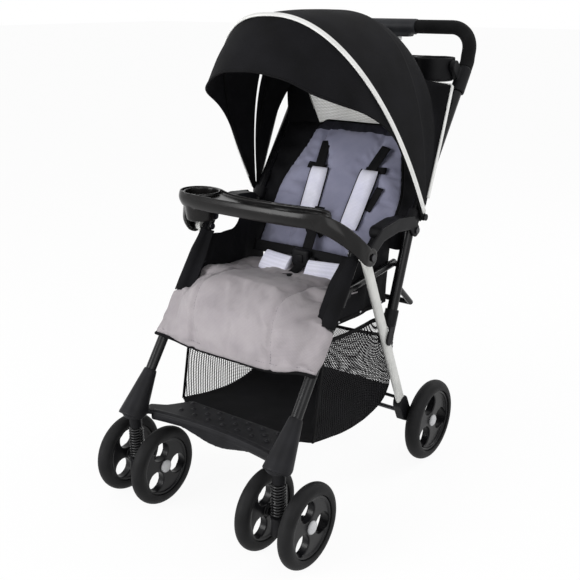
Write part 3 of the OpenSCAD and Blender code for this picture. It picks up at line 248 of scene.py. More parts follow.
# Faces of a closed shell between two grids of the same size
def shellFaces(rows, cols):
    half = rows * cols
    faces = []
    for i in range(rows - 1):
        for j in range(cols - 1):
            a, b, c, d = i * cols + j, (i + 1) * cols + j, (i + 1) * cols + j + 1, i * cols + j + 1
            faces.append((a, b, c, d))
            faces.append((half + a, half + d, half + c, half + b))
    for i in range(rows - 1):
        a, b = i * cols, (i + 1) * cols
        faces.append((a, half + a, half + b, b))
        a, b = i * cols + cols - 1, (i + 1) * cols + cols - 1
        faces.append((a, b, half + b, half + a))
    for j in range(cols - 1):
        faces.append((j, j + 1, half + j + 1, half + j))
        a = (rows - 1) * cols + j
        faces.append((a, half + a, half + a + 1, a + 1))
    return faces


# A closed piece between a front grid, which faces outwards, and a back grid
def shellPiece(name, front, back, finish):
    points = np.concatenate([front.reshape(-1, 3), back.reshape(-1, 3)])
    uv = flatUvs(front)
    return meshPiece(name, points, shellFaces(*front.shape[:2]), finish, np.concatenate([uv, uv]))


# A thin sheet: the grid is its outer face
def sheetPiece(name, grid, thickness, finish):
    return shellPiece(name, grid, grid - gridNormals(grid) * thickness, finish)


# Points at equal steps along a path, by chord length
def resample(path, count):
    path = np.asarray(path, float)
    place = lengthsAlong(path)
    wanted = np.linspace(0, place[-1], count)
    return np.stack([np.interp(wanted, place, path[:, k]) for k in range(path.shape[1])], axis=1)


# A smooth curve through a few points
def smoothPath(path, count, rounds=3):
    path = np.asarray(path, float)
    for _ in range(rounds):
        near = path[:-1] * 0.75 + path[1:] * 0.25
        far = path[:-1] * 0.25 + path[1:] * 0.75
        path = np.concatenate([path[:1], np.stack([near, far], axis=1).reshape(-1, path.shape[1]), path[-1:]])
    return resample(path, count)


def unit(vectors):
    return vectors / np.linalg.norm(vectors, axis=-1, keepdims=True)


# A bar of oval section along a path: side is the direction of the section's width
def barPiece(name, path, width, height, finish, side=None, sides=12, squareness=1.0):
    path = np.asarray(path, float)
    tangent = unit(np.gradient(path, axis=0))
    if side is None:
        across = np.zeros_like(path)
        current = np.cross(tangent[0], (0.31, 0.72, 0.62))
        for i, t in enumerate(tangent):
            current = unit(current - t * np.dot(current, t))
            across[i] = current
    else:
        across = np.broadcast_to(np.asarray(side, float), path.shape)
        across = unit(across - tangent * np.sum(across * tangent, axis=1, keepdims=True))
    upward = np.cross(tangent, across)
    turn = np.linspace(0, 2 * pi, sides, endpoint=False)
    c, s = [np.sign(f) * np.abs(f) ** squareness for f in (np.cos(turn), np.sin(turn))]
    rings = (path[:, None] + across[:, None] * (c * width / 2)[None, :, None]
             + upward[:, None] * (s * height / 2)[None, :, None])
    last = (len(path) - 1) * sides
    faces = [(i + j, i + (j + 1) % sides, i + sides + (j + 1) % sides, i + sides + j)
             for i in range(0, last, sides) for j in range(sides)]
    faces.append(tuple(reversed(range(sides))))
    faces.append(tuple(range(last, last + sides)))
    around = np.arange(sides) * (width + height) / sides
    uvs = np.stack(np.meshgrid(around, lengthsAlong(path)), axis=2).reshape(-1, 2)
    return meshPiece(name, rings.reshape(-1, 3), faces, finish, uvs)


# One object from several, all on one body
def joined(name, pieces):
    work = bmesh.new()
    for piece in pieces:
        work.from_mesh(piece.data)
    made = workPiece(name, work, pieces[0].data.materials)
    for piece in pieces:
        old = piece.data
        bpy.data.objects.remove(piece)
        bpy.data.meshes.remove(old)
    return made


def mirrored(name, piece):
    work = bmesh.new()
    work.from_mesh(piece.data)
    for v in work.verts:
        v.co.x = -v.co.x
    bmesh.ops.reverse_faces(work, faces=work.faces)
    return workPiece(name, work, piece.data.materials)


def finishModifiers(piece):
    depsgraph = bpy.context.evaluated_depsgraph_get()
    mesh = bpy.data.meshes.new_from_object(piece.evaluated_get(depsgraph))
    old = piece.data
    piece.modifiers.clear()
    piece.data = mesh
    bpy.data.meshes.remove(old)
    return piece


# Points that hold a swelling cover: its underside, its edges and its stitched channels
def heldPoints(front, channelX, reach):
    fixed = np.abs(np.abs(front[:, :, 0]) - channelX) < reach
    fixed[[0, -1]] = True
    fixed[:, [0, -1]] = True
    return np.flatnonzero(fixed).tolist() + list(range(fixed.size, 2 * fixed.size))


swelling = {
    "quality": 6, "mass": 0.25, "tension_stiffness": 12, "compression_stiffness": 12,
    "bending_stiffness": 0.25, "use_pressure": True, "uniform_pressure_force": 2.0,
    "vertex_group_mass": "held",
}
swellFrames = 16
swellMost = 0.006


# Cloth with pressure: held points stay, the rest swells and creases by no more than swellMost
def swell(piece, held, slack):
    piece.vertex_groups.new(name="held").add(held, 1.0, "REPLACE")
    cloth = piece.modifiers.new("cloth", "CLOTH")
    for key, value in swelling.items():
        setattr(cloth.settings, key, value)
    cloth.settings.shrink_min = -slack
    cloth.settings.effector_weights.gravity = 0
    cloth.collision_settings.use_collision = False
    cloth.point_cache.frame_start = 1
    cloth.point_cache.frame_end = swellFrames
    before = np.array([v.co for v in piece.data.vertices])
    for step in range(1, swellFrames + 1):
        scene.frame_set(step)
    shaped = piece.evaluated_get(bpy.context.evaluated_depsgraph_get())
    after = np.array([v.co for v in shaped.to_mesh().vertices])
    shaped.to_mesh_clear()
    piece.modifiers.clear()
    scene.frame_set(1)
    move = after - before
    length = np.linalg.norm(move, axis=1, keepdims=True)
    move *= np.minimum(1.0, swellMost / np.maximum(length, 1e-9))
    piece.data.vertices.foreach_set("co", (before + move).ravel().astype(np.float32))
    piece.data.update()
    piece.vertex_groups.clear()


def ease(t):
    t = np.clip(t, 0, 1)
    return t * t * (3 - 2 * t)


# 0 up to the start, 1 beyond the length, soft between; a length below 0 runs the other way
def ramp(value, start, length):
    return ease((value - start) / length)


def wobble(point, size, seed=0.0):
    return noise.noise(Vector((point[0] / size + seed, point[1] / size, point[2] / size)))


# Beads at even steps along any number of paths: stitches where they are long, rivets where they are round
def beadTree():
    tree = bpy.data.node_groups.new("beadsOnPaths", "GeometryNodeTree")
    kinds = {"Geometry": "Geometry", "Spacing": "Float", "Size": "Vector", "Finish": "Material"}
    for label, kind in kinds.items():
        tree.interface.new_socket(label, in_out="INPUT", socket_type="NodeSocket" + kind)
    tree.interface.new_socket("Geometry", in_out="OUTPUT", socket_type="NodeSocketGeometry")
    start = tree.nodes.new("NodeGroupInput").outputs
    path = addNode(tree, "MeshToCurve", {"Mesh": start["Geometry"]})
    spaced = addNode(tree, "ResampleCurve", mode="LENGTH")
    feed(spaced, {"Curve": path.outputs["Curve"], "Length": start["Spacing"]})
    spots = addNode(tree, "CurveToPoints", {"Curve": spaced.outputs["Curve"]}, mode="EVALUATED").outputs
    bead = addNode(tree, "MeshUVSphere", {"Segments": 6, "Rings": 4, "Radius": 0.5})
    placed = addNode(tree, "InstanceOnPoints", {
        "Points": spots["Points"], "Instance": bead.outputs["Mesh"], "Rotation": spots["Rotation"],
        "Scale": start["Size"]})
    real = addNode(tree, "RealizeInstances", {"Geometry": placed.outputs["Instances"]})
    coloured = addNode(tree, "SetMaterial", {
        "Geometry": real.outputs["Geometry"], "Material": start["Finish"]})
    feed(tree.nodes.new("NodeGroupOutput"), {"Geometry": coloured.outputs["Geometry"]})
    return tree


beads = beadTree()


def beadPiece(name, paths, finish, spacing, size):
    points, edges = [], []
    for path in paths:
        edges += [(len(points) + k, len(points) + k + 1) for k in range(len(path) - 1)]
        points += [tuple(p) for p in path]
    mesh = bpy.data.meshes.new(name)
    mesh.from_pydata(points, edges, [])
    made = newObject(name, mesh)
    modifier = made.modifiers.new("beads", "NODES")
    modifier.node_group = beads
    wanted = {"Spacing": spacing, "Size": size, "Finish": finishes[finish]}
    for item in beads.interface.items_tree:
        if item.in_out == "INPUT" and item.name in wanted:
            modifier[item.identifier] = wanted[item.name]
    finishModifiers(made)
    made.data.polygons.foreach_set("use_smooth", [True] * len(made.data.polygons))
    return made


# Paths of stitches down the two channels of a padded cover
def channelPaths(grid, channelX, lift):
    paths = []
    for lane in (-channelX, channelX):
        picked = [row[np.argmin(np.abs(row[:, 0] - lane))] for row in grid]
        paths.append([np.array((lane, p[1], p[2])) + lift for p in picked])
    return paths


stitch = {"spacing": 0.0062, "size": (0.0011, 0.0011, 0.0042)}
bodyOf = {node: body for body, members in frame["record"]["behaviour"]["bodies"].items() for node in members}
slotOf = {part["node"]: part["material_slot"] for part in frame["record"]["subparts"]}


# Hangs a piece on the body that carries it and hides the nodes it stands for; the slot is not used
def settle(made, body, slot, *stoodFor):
    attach(made, body)
    if stoodFor:
        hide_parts(*stoodFor)
    return made


# For cloth that goes from the front frame to the seat: bakes its transform into its mesh and hangs it on no
# body; the slot and the two places are not used
def settleOnSeat(made, slot, front, rear):
    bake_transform(made)


# Closed shells that overlap become one skin with soft edges, in the place of a CAD node
def castAsOne(made, node, finish, voxel, rounds):
    remesh = made.modifiers.new("even", "REMESH")
    remesh.mode = "VOXEL"
    remesh.voxel_size = voxel
    remesh.use_smooth_shade = True
    soften = made.modifiers.new("soften", "SMOOTH")
    soften.factor = 0.5
    soften.iterations = rounds
    finishModifiers(made)
    made.data.materials.clear()
    made.data.materials.append(finishes[finish])
    settle(made, bodyOf[node], slotOf[node], node)


# A moulded piece: a merged copy of a CAD node whose sharp edges are worn round, as they leave a mould
def mouldedPiece(node, finish, voxel, rounds):
    first, *others = node.split("_")
    work = bmesh.new()
    work.from_mesh(nodes[node].data)
    bmesh.ops.remove_doubles(work, verts=work.verts, dist=0.00002)
    made = workPiece(first + "".join(part.capitalize() for part in others) + "Moulded", work, [])
    castAsOne(made, node, finish, voxel, rounds)


# The frame: CAD nodes keep their shapes and get their finishes

nodeFinish = {
    "tube": ["front_leg_left", "front_leg_right", "push_tube_left", "push_tube_right", "seat_tubes",
             "support_bar", "brake_bar", "handle_bar"],
    "silver": ["rear_leg_left", "rear_leg_right"],
    "steel": ["front_axle_left", "front_axle_right"],
    "darkSteel": ["hub_pins", "arm_pins", "recline_rod", "rear_axle"],
    "footrest": ["footrest"],
    "tray": ["child_tray"],
    "trigger": ["fold_trigger"],
    "housing": ["handle_housing"],
    "tyre": [n for n in nodes if "tyre" in n],
    "rim": [n for n in nodes if "_rim_" in n],
    "binding": ["hood_front_bow", "hood_rear_bow"],
}
dressed = {name: finish for finish, names in nodeFinish.items() for name in names}
for name, piece in nodes.items():
    piece.data.materials.clear()
    piece.data.materials.append(finishes[dressed.get(name, "plastic")])

# Finish, voxel size and rounds of smoothing of the nodes whose names start so
moulded = {
    "footrest": ("footrest", 0.0020, 14), "handle_housing": ("housing", 0.0018, 8),
    "parent_tray": ("plastic", 0.0018, 5), "tray_brackets": ("plastic", 0.0018, 4),
    "armrest": ("plastic", 0.0016, 12), "rear_housing": ("plastic", 0.0016, 6),
    "axle_carrier": ("plastic", 0.0014, 5), "latch": ("plastic", 0.0016, 5),
    "rear_rim": ("rim", 0.0014, 3), "front_rim": ("rim", 0.0014, 3),
}
for start, recipe in moulded.items():
    for name in nodes:
        if name.startswith(start):
            mouldedPiece(name, *recipe)

# The footrest's front edge is rolled, and bumps stand on its plate
lip = {"front": -0.2955, "bow": 0.022, "half": 0.162, "castorX": 0.1885, "depth": 0.019, "height": 0.023,
       "z": 0.1943}
lipLine = [(x, lip["front"] + lip["bow"] * (1 - (x / lip["castorX"]) ** 2), lip["z"])
           for x in np.linspace(-lip["half"], lip["half"], 50)]
footLip = barPiece("footrestLip", lipLine, lip["depth"], lip["height"], "footrest", (0, 1, 0), 20, 0.9)
settle(footLip, "front_frame", "plastic")
bumps = {"half": 0.114, "count": 7, "apart": 0.038, "from": -0.221, "rowStep": 0.018, "rows": 3, "z": 0.2026,
         "size": 0.013}
bumpLine = np.linspace(-bumps["half"], bumps["half"], bumps["count"])
bumpRows = [[(x, bumps["from"] - bumps["rowStep"] * row, bumps["z"])
             for x in bumpLine + bumps["apart"] / 2 * (row % 2)] for row in range(bumps["rows"])]
footBumps = beadPiece("footrestBumps", bumpRows, "footrest", bumps["apart"], (bumps["size"],) * 3)
settle(footBumps, "front_frame", "plastic")
print("frame dressed")


# Child tray: a sunk deck inside a skirt, a cup well at one end and a broad arm down to each hub

tray = {
    "outline": [(0.150, -0.166), (0.110, -0.1745), (0.060, -0.1772), (0.000, -0.1780), (-0.060, -0.1775),
                (-0.110, -0.1760), (-0.150, -0.1730), (-0.188, -0.163), (-0.208, -0.141), (-0.210, -0.112),
                (-0.192, -0.089), (-0.160, -0.0805), (-0.130, -0.087), (-0.100, -0.105), (-0.060, -0.118),
                (0.000, -0.122), (0.060, -0.120), (0.110, -0.113), (0.145, -0.111), (0.168, -0.120),
                (0.177, -0.138), (0.170, -0.155)],
    "low": (-0.214, -0.182), "high": (0.180, -0.076), "step": 0.002, "deckInset": 0.0035,
    "lapPoints": 200, "lapFrom": 8, "loopPoints": 160,
    "top": 0.645, "deck": 0.639, "deckUnder": 0.634, "skirt": 0.031, "swell": 0.0036, "tuck": 0.0035,
    "wall": 0.0034,
    "armUpper": [(0.118, -0.166, 0.641), (0.150, -0.161, 0.643), (0.174, -0.150, 0.642),
                 (0.192, -0.134, 0.631), (0.207, -0.118, 0.616), (0.219, -0.103, 0.599),
                 (0.2270, -0.090, 0.584), (0.2282, -0.078, 0.573)],
    "armLower": [(0.118, -0.166, 0.618), (0.150, -0.1615, 0.613), (0.176, -0.154, 0.605),
                 (0.196, -0.142, 0.592), (0.212, -0.127, 0.576), (0.223, -0.111, 0.559),
                 (0.2280, -0.095, 0.543), (0.2282, -0.083, 0.537)],
    "armPoints": 60, "leftArmFrom": 18, "armThickness": 0.0055, "armBulge": 0.003,
    "bulgeFrom": (0.14, 0.03), "bulgeTo": (0.2275, -0.008), "armRows": 11, "hub": (-0.072, 0.553),
    "hubInner": 0.0075, "hubOuter": 0.0185, "hubX": (0.2226, 0.2284), "cup": (-0.152, -0.130),
    "cupInner": 0.035, "cupOuter": 0.039, "cupTaper": 0.006, "cupFloor": 0.589, "cupUnder": 0.586,
    "cupGap": 0.0012,
}


# A closed ring turned from a profile of (radius, height) points about an upright or a cross axis
def turnedRing(profile, place, sides, axis):
    points = []
    for k in range(sides):
        a = 2 * pi * k / sides
        for r, h in profile:
            spot = (r * cos(a), r * sin(a), h) if axis == "z" else (h, r * cos(a), r * sin(a))
            points.append(tuple(spot[i] + place[i] for i in range(3)))
    n = len(profile)
    faces = [(k * n + i, ((k + 1) % sides) * n + i, ((k + 1) % sides) * n + (i + 1) % n, k * n + (i + 1) % n)
             for k in range(sides) for i in range(n)]
    return meshPiece("trayPart", points, faces, "tray")


# A flat slab of square cells whose middles pass the test
def cellSlab(low, high, step, inside, under, over):
    work = bmesh.new()
    corner = {}
    for i in range(int(round((high[0] - low[0]) / step))):
        for j in range(int(round((high[1] - low[1]) / step))):
            if not inside(low[0] + (i + 0.5) * step, low[1] + (j + 0.5) * step):
                continue
            around = []
            for a, b in ((i, j), (i + 1, j), (i + 1, j + 1), (i, j + 1)):
                if (a, b) not in corner:
                    corner[a, b] = work.verts.new((low[0] + a * step, low[1] + b * step, over))
                around.append(corner[a, b])
            work.faces.new(around)
    for part in bmesh.ops.extrude_face_region(work, geom=work.faces[:])["geom"]:
        if isinstance(part, bmesh.types.BMVert):
            part.co.z = under
    bmesh.ops.recalc_face_normals(work, faces=work.faces[:])
    return workPiece("trayPart", work, [finishes["tray"]])


def insideLoop(loop, x, y):
    odd = False
    for (ax, ay), (bx, by) in zip(loop, np.roll(loop, -1, axis=0)):
        if (ay > y) != (by > y) and x < ax + (bx - ax) * (y - ay) / (by - ay):
            odd = not odd
    return odd


# The smoothed outline laps over its own start, so the loop is cut where it comes by its first point again
lapped = smoothPath(tray["outline"] + tray["outline"][:3], tray["lapPoints"])[tray["lapFrom"]:]
half = len(lapped) // 2
meeting = half + int(np.argmin(np.linalg.norm(lapped[half:] - lapped[0], axis=1)))
trayLoop = resample(np.concatenate([lapped[:meeting], lapped[:1]]), tray["loopPoints"] + 1)[:-1]
ahead = unit(np.roll(trayLoop, -1, axis=0) - np.roll(trayLoop, 1, axis=0))
outwards = np.stack([ahead[:, 1], -ahead[:, 0]], axis=1)
outwards *= np.sign(np.sum(outwards * (trayLoop - trayLoop.mean(axis=0))))
deckLoop = trayLoop - outwards * tray["deckInset"]


def inTray(x, y):
    cup = hypot(x - tray["cup"][0], y - tray["cup"][1])
    return cup > tray["cupInner"] + tray["cupGap"] and insideLoop(deckLoop, x, y)


trayParts = [cellSlab(tray["low"], tray["high"], tray["step"], inTray, tray["deckUnder"], tray["deck"])]
# The skirt swells between its two edges and tucks in at the lower one
heights = np.linspace(0, 1, 13)
ring = 2 * len(heights)
points, faces = [], []
for k, ((x, y), (nx, ny)) in enumerate(zip(trayLoop, outwards)):
    for depth, order in ((0.0, heights), (tray["wall"], heights[::-1])):
        for h in order:
            out = tray["swell"] * (sin(pi * h) - 1) - tray["tuck"] * h * h - depth
            points.append((x + nx * out, y + ny * out, tray["top"] - tray["skirt"] * h))
    a, b = k * ring, (k + 1) % len(trayLoop) * ring
    faces += [(a + i, b + i, b + (i + 1) % ring, a + (i + 1) % ring) for i in range(ring)]
trayParts.append(meshPiece("trayPart", points, faces, "tray"))
cupProfile = [(0.0005, tray["cupUnder"]), (tray["cupOuter"] - tray["cupTaper"], tray["cupUnder"]),
              (tray["cupOuter"], tray["top"]), (tray["cupInner"], tray["top"]),
              (tray["cupInner"] - tray["cupTaper"], tray["cupFloor"]), (0.0005, tray["cupFloor"])]
trayParts.append(turnedRing(cupProfile, (*tray["cup"], 0), 64, "z"))
for side in (1, -1):
    begin = 0 if side > 0 else tray["leftArmFrom"]
    edges = (tray["armUpper"], tray["armLower"])
    upper, lower = [smoothPath(edge, tray["armPoints"], 2)[begin:] for edge in edges]
    shares = np.linspace(0, 1, tray["armRows"])
    grid = np.array([upper + (lower - upper) * h for h in shares]) * np.array((side, 1, 1))
    normal = gridNormals(grid)
    if normal[5, 20] @ np.array((side, -1, 0.5)) < 0:
        normal = -normal
    reach = np.abs(grid[:, :, :1])
    bulge = np.sin(np.linspace(0, pi, tray["armRows"]))[:, None, None] * tray["armBulge"]
    bulge = bulge * ramp(reach, *tray["bulgeFrom"]) * ramp(reach, *tray["bulgeTo"])
    under = grid - normal * tray["armThickness"]
    trayParts.append(shellPiece("trayPart", grid + normal * bulge, under, "tray"))
    low, high = tray["hubX"]
    inner, outer = tray["hubInner"], tray["hubOuter"]
    profile = [(inner, low), (outer, low), (outer, high), (inner, high)]
    trayParts.append(turnedRing([(r, x * side) for r, x in profile], (0, *tray["hub"]), 48, "x"))
castAsOne(joined("childTray", trayParts), "child_tray", "tray", 0.0016, 6)
print("tray made")


# Hood

hood = {
    "pivot": (0.140, 0.590), "half": 0.2257, "bowTilt": 30.2, "visorTilt": 45.6, "from": 4.0,
    "bowShare": 0.62, "bowRadius": 0.466, "rearRadius": 0.41075, "visorRadius": 0.438, "foot": 1.2,
    "clothThickness": 0.0016, "pipingWidth": 0.011, "pipingHeight": 0.0045, "creaseHeight": 0.004,
    "lap": 1.2, "rows": 44, "columns": 96, "rearHalf": 0.2206, "rearTo": -22.6, "rearDrop": 0.124,
    "rearRows": 34, "squareFrom": -17.5, "square": 0.9, "trimWidth": 0.010, "rearEase": 0.75,
    "rearStep": 0.006,
}


def hoodRadius(tilt):
    if tilt > hood["bowTilt"]:
        share = (tilt - hood["bowTilt"]) / (hood["visorTilt"] - hood["bowTilt"])
        return hood["bowRadius"] + (hood["visorRadius"] - hood["bowRadius"]) * share
    share = (max(tilt, 0) / hood["bowTilt"]) ** 1.8
    return hood["rearRadius"] + (hood["bowRadius"] - hood["rearRadius"]) * share


def hoodPower(tilt):
    return 2.8 - 0.45 * min(1, max(0, tilt / hood["bowTilt"]))


def rearRadius(tilt):
    share = ease(max(0, -1 - tilt) / (-1 - hood["rearTo"]) * hood["rearEase"]) / ease(hood["rearEase"])
    return hood["rearRadius"] - hood["rearStep"] - (hood["rearDrop"] - hood["rearStep"]) * share


# A half arch with round shoulders; angle 0 is the right foot and 180 the left
def arch(angle, half, height, power):
    c, s = cos(radians(angle)), max(0, sin(radians(angle)))
    return half * copysign(abs(c) ** (2 / power), c), height * s ** (2 / power)


# A point on the plane through the pivot line at this tilt
def onTilt(x, height, tilt):
    t = radians(tilt)
    return (x, hood["pivot"][0] - height * sin(t), hood["pivot"][1] + height * cos(t))


def hoodPoint(angle, tilt, proud=0.0):
    return onTilt(*arch(angle, hood["half"] + proud, hoodRadius(tilt) + proud, hoodPower(tilt)), tilt)


# The rear cloth is drawn out to square corners at its rear edge
def rearPoint(angle, tilt, proud=0.0):
    half = hood["rearHalf"] + proud
    height = rearRadius(tilt) + proud
    x, up = arch(angle, half, height, 2.5 + 0.7 * ease((-2 - tilt) / 16))
    square = hood["square"] * ease((hood["squareFrom"] - tilt) / (hood["squareFrom"] - hood["rearTo"]))
    reach = min(half / max(abs(x), 0.001), height / max(up, 0.001))
    grow = 1 + (reach - 1) * square
    return onTilt(x * grow, up * grow, tilt)


def clothAngle(u):
    return 180 - hood["foot"] - (180 - 2 * hood["foot"]) * u


# The visor reaches forward over the head and runs back to the bow at its feet
def visorTilt(angle):
    start = hood["bowTilt"] + hood["lap"]
    return start + (hood["visorTilt"] - start) * ease((sin(radians(angle)) - 0.3) / 0.6)


def hoodClothPoint(u, v):
    angle = clothAngle(u)
    past = v - hood["bowShare"]
    if past < 0:
        tilt = hood["from"] + (hood["bowTilt"] - hood["from"]) * v / hood["bowShare"]
    else:
        tilt = hood["bowTilt"] + (visorTilt(angle) - hood["bowTilt"]) * past / (1 - hood["bowShare"])
    point = np.array(hoodPoint(angle, tilt))
    outward = unit(point - np.array((0, *hood["pivot"])))
    free = sin(radians(angle)) * (0.25 if past < 0 else 1.0) * min(1, abs(past) * 12)
    return point - outward * hood["creaseHeight"] * free * (0.5 + 0.8 * wobble(point, 0.055))


# The direction along the cloth, across an edge at this tilt
def acrossEdge(tilt):
    return (0, cos(radians(tilt)), sin(radians(tilt)))


hoodGrid = gridOf(hood["rows"], hood["columns"], hoodClothPoint)
hoodCloth = sheetPiece("hoodCloth", hoodGrid, hood["clothThickness"], "hood")
settle(hoodCloth, "hood_front", "black_cloth", "hood")
bowLine = [hoodPoint(a, hood["bowTilt"], 0.0012) for a in np.linspace(1.0, 179.0, 120)]
hoodPiping = barPiece("hoodPiping", bowLine, hood["pipingWidth"], hood["pipingHeight"], "piping",
                      acrossEdge(hood["bowTilt"]), 14, 0.7)
settle(hoodPiping, "hood_front", "pad_cloth")
visorEdge = (hoodGrid - gridNormals(hoodGrid) * hood["clothThickness"] / 2)[-1, 2:-2]
settle(barPiece("visorHem", visorEdge, 0.004, 0.004, "binding"), "hood_front", "black_cloth")

rearSpan = hood["from"] + hood["lap"] - hood["rearTo"]
rearGrid = gridOf(hood["rearRows"], hood["columns"],
                  lambda u, v: rearPoint(clothAngle(u), hood["rearTo"] + rearSpan * v))
rearCloth = sheetPiece("hoodRearCloth", rearGrid, hood["clothThickness"], "hood")
settle(rearCloth, "push_frame", "black_cloth", "hood_rear_panel")
rearEdge = [rearPoint(a, hood["rearTo"], 0.001) for a in np.linspace(2.5, 177.5, 180)]
rearTrim = barPiece("hoodRearTrim", resample(rearEdge, 200), hood["trimWidth"], 0.004, "piping",
                    acrossEdge(hood["rearTo"]), 12, 0.7)
settle(rearTrim, "push_frame", "pad_cloth")
print("hood made")


# Seat cover: one padded cloth from the calf hem over the front edge to the back of the seat

seat = {
    "path": [(-0.229, 0.340), (-0.229, 0.358), (-0.228, 0.379), (-0.227, 0.401), (-0.224, 0.421),
             (-0.2225, 0.428), (-0.221, 0.434), (-0.218, 0.443), (-0.210, 0.464), (-0.194, 0.476),
             (-0.172, 0.482), (-0.148, 0.482), (-0.124, 0.479), (-0.098, 0.474), (-0.070, 0.467),
             (-0.040, 0.462), (-0.005, 0.460), (0.022, 0.461), (0.040, 0.459), (0.060, 0.454),
             (0.088, 0.452)],
    "half": [0.2065] * 5 + [0.202, 0.188, 0.177, 0.174, 0.172, 0.172, 0.172, 0.174, 0.169, 0.169, 0.169,
                            0.168, 0.167, 0.163, 0.160, 0.158],
    "rows": 92, "columns": 81, "thickness": 0.013, "edge": 0.0025, "channelX": 0.100, "channelDepth": 0.004,
    "channelWidth": 0.006, "wrinkle": 0.0016, "crown": 0.002, "hemRise": 0.010, "hemRiseRight": 0.018,
    "cornerDrop": 0.022, "blend": (-0.150, -0.085), "holdReach": 0.0028, "slack": 0.03,
    "calfZ": (0.380, -0.040), "thinZ": (0.474, -0.014), "thinX": (0.140, 0.030), "hemX": (0.090, 0.100),
    "legFront": 0.0175, "legDepth": 0.0235, "behindZ": (0.436, 0.024), "legX": (0.105, 0.082),
    "wrapX": 0.194, "wrap": 0.0125, "cornerX": (0.07, 0.10), "cornerY": (-0.095, -0.05),
    "cornerZ": (0.43, 0.04),
}
legs = {"x": 0.190, "hub": (-0.072, 0.553), "lean": 35.4}


# Y of a front leg's middle at height z
def legY(z):
    return legs["hub"][0] - (legs["hub"][1] - z) * tan(radians(legs["lean"]))


# Depth of the two stitched channels of a padded cover at x
def grooveAt(x, channelX, width, depth):
    return depth * sum(exp(-((x - lane) / width) ** 2) for lane in (-channelX, channelX))


line = np.array([(y, z, w) for (y, z), w in zip(seat["path"], seat["half"])])
line = smoothPath(line, seat["rows"], 2)
step = unit(np.gradient(line[:, :2], axis=0))
outward = np.stack([-step[:, 1], step[:, 0]], axis=1)
seatFront = np.zeros((seat["rows"], seat["columns"], 3))
seatBack = np.zeros_like(seatFront)
for i, (y, z, half) in enumerate(line):
    lower = ramp(z, *seat["calfZ"])
    below = ramp(z, *seat["thinZ"])
    for j in range(seat["columns"]):
        u = 1 - 2 * j / (seat["columns"] - 1)
        x = u * half
        # The cloth lies on the front of the legs and goes behind them above the seat's edge
        onLeg = legY(z) - seat["legFront"] + seat["legDepth"] * ramp(z, *seat["behindZ"])
        onLeg += seat["wrap"] * min(1, max(0, (abs(x) - seat["wrapX"]) / seat["wrap"])) ** 2
        wide = y + max(0.0, onLeg - y) * ramp(abs(x), *seat["legX"])
        rise = seat["hemRiseRight"] if x > 0 else seat["hemRise"]
        corner = ramp(abs(x), *seat["cornerX"]) * ramp(y, *seat["cornerY"]) * ramp(z, *seat["cornerZ"])
        tall = z + rise * ramp(abs(x), *seat["hemX"]) * lower - seat["cornerDrop"] * corner
        thin = 1 - max(abs(u) ** 8, ramp(abs(x), *seat["thinX"]) * below)
        crumple = wobble((x, y * 1.6, z), 0.035) + 0.6 * wobble((x * 1.8, y, z), 0.018, 5.0)
        lift = (seat["crown"] + seat["wrinkle"] * crumple) * thin
        lift -= grooveAt(x, seat["channelX"], seat["channelWidth"], seat["channelDepth"])
        deep = seat["edge"] + (seat["thickness"] - seat["edge"]) * thin
        seatFront[i, j] = (x, wide + outward[i, 0] * lift, tall + outward[i, 1] * lift)
        seatBack[i, j] = (x, wide - outward[i, 0] * deep, tall - outward[i, 1] * deep)
seatCover = shellPiece("seatCover", seatFront, seatBack, "seat")
swell(seatCover, heldPoints(seatFront, seat["channelX"], seat["holdReach"]), seat["slack"])
settleOnSeat(seatCover, "seat_cloth", *seat["blend"])
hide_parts("seat_cushion", "calf_panel")

hemLine = seatFront[0] * 0.7 + seatBack[0] * 0.3 - np.array((0, 0, 0.002))
seatHem = barPiece("seatHem", hemLine, 0.007, 0.010, "binding", (0, 0, 1), 10, 0.8)
settle(seatHem, "front_frame", "black_cloth")
stitchRows = channelPaths(seatFront[3:-2], seat["channelX"], 0)
stitchRows.append(seatFront[3, 2:-2] + np.array((0, -0.0006, 0)))
seatStitches = beadPiece("seatStitches", stitchRows, "thread", stitch["spacing"], stitch["size"])
settleOnSeat(seatStitches, "seat_cloth", *seat["blend"])
print("seat cover made")


# Back: padded panel with a dark mesh band along its top and black edging

back = {
    "pin": (0.0859, 0.494), "lean": 34.5, "bottom": -0.030, "top": 0.305, "half": 0.158, "thickness": 0.022,
    "rear": 0.0068, "rows": 62, "columns": 57, "bandFrom": 0.277, "channelX": 0.075, "channelDepth": 0.003,
    "narrow": 0.040, "shoulder": 0.022, "shoulderFrom": 0.86, "channelWidth": 0.005,
    "holdReach": 0.0026, "slack": 0.04,
}
backUp = np.array((0, sin(radians(back["lean"])), cos(radians(back["lean"]))))
backOut = np.array((0, -backUp[2], backUp[1]))
backPin = np.array((0, *back["pin"]))


def onBack(x, up, out):
    return backPin + np.array((x, 0, 0)) + backUp * up + backOut * out


def backHalf(v):
    shoulder = max(0, (v - back["shoulderFrom"]) / (1 - back["shoulderFrom"])) ** 3
    return back["half"] - back["narrow"] * ramp(v, 0.45, 0.5) - back["shoulder"] * shoulder


def backPoint(u, v, padding):
    u = 1 - 2 * u
    x = u * backHalf(v)
    edge = (1 - abs(u) ** 6) * (1 - abs(2 * v - 1) ** 8)
    groove = grooveAt(x, back["channelX"], back["channelWidth"], back["channelDepth"])
    out = back["thickness"] * (0.35 + 0.60 * edge) - groove * edge
    return onBack(x, back["bottom"] + (back["top"] - back["bottom"]) * v, back["rear"] + padding * out)


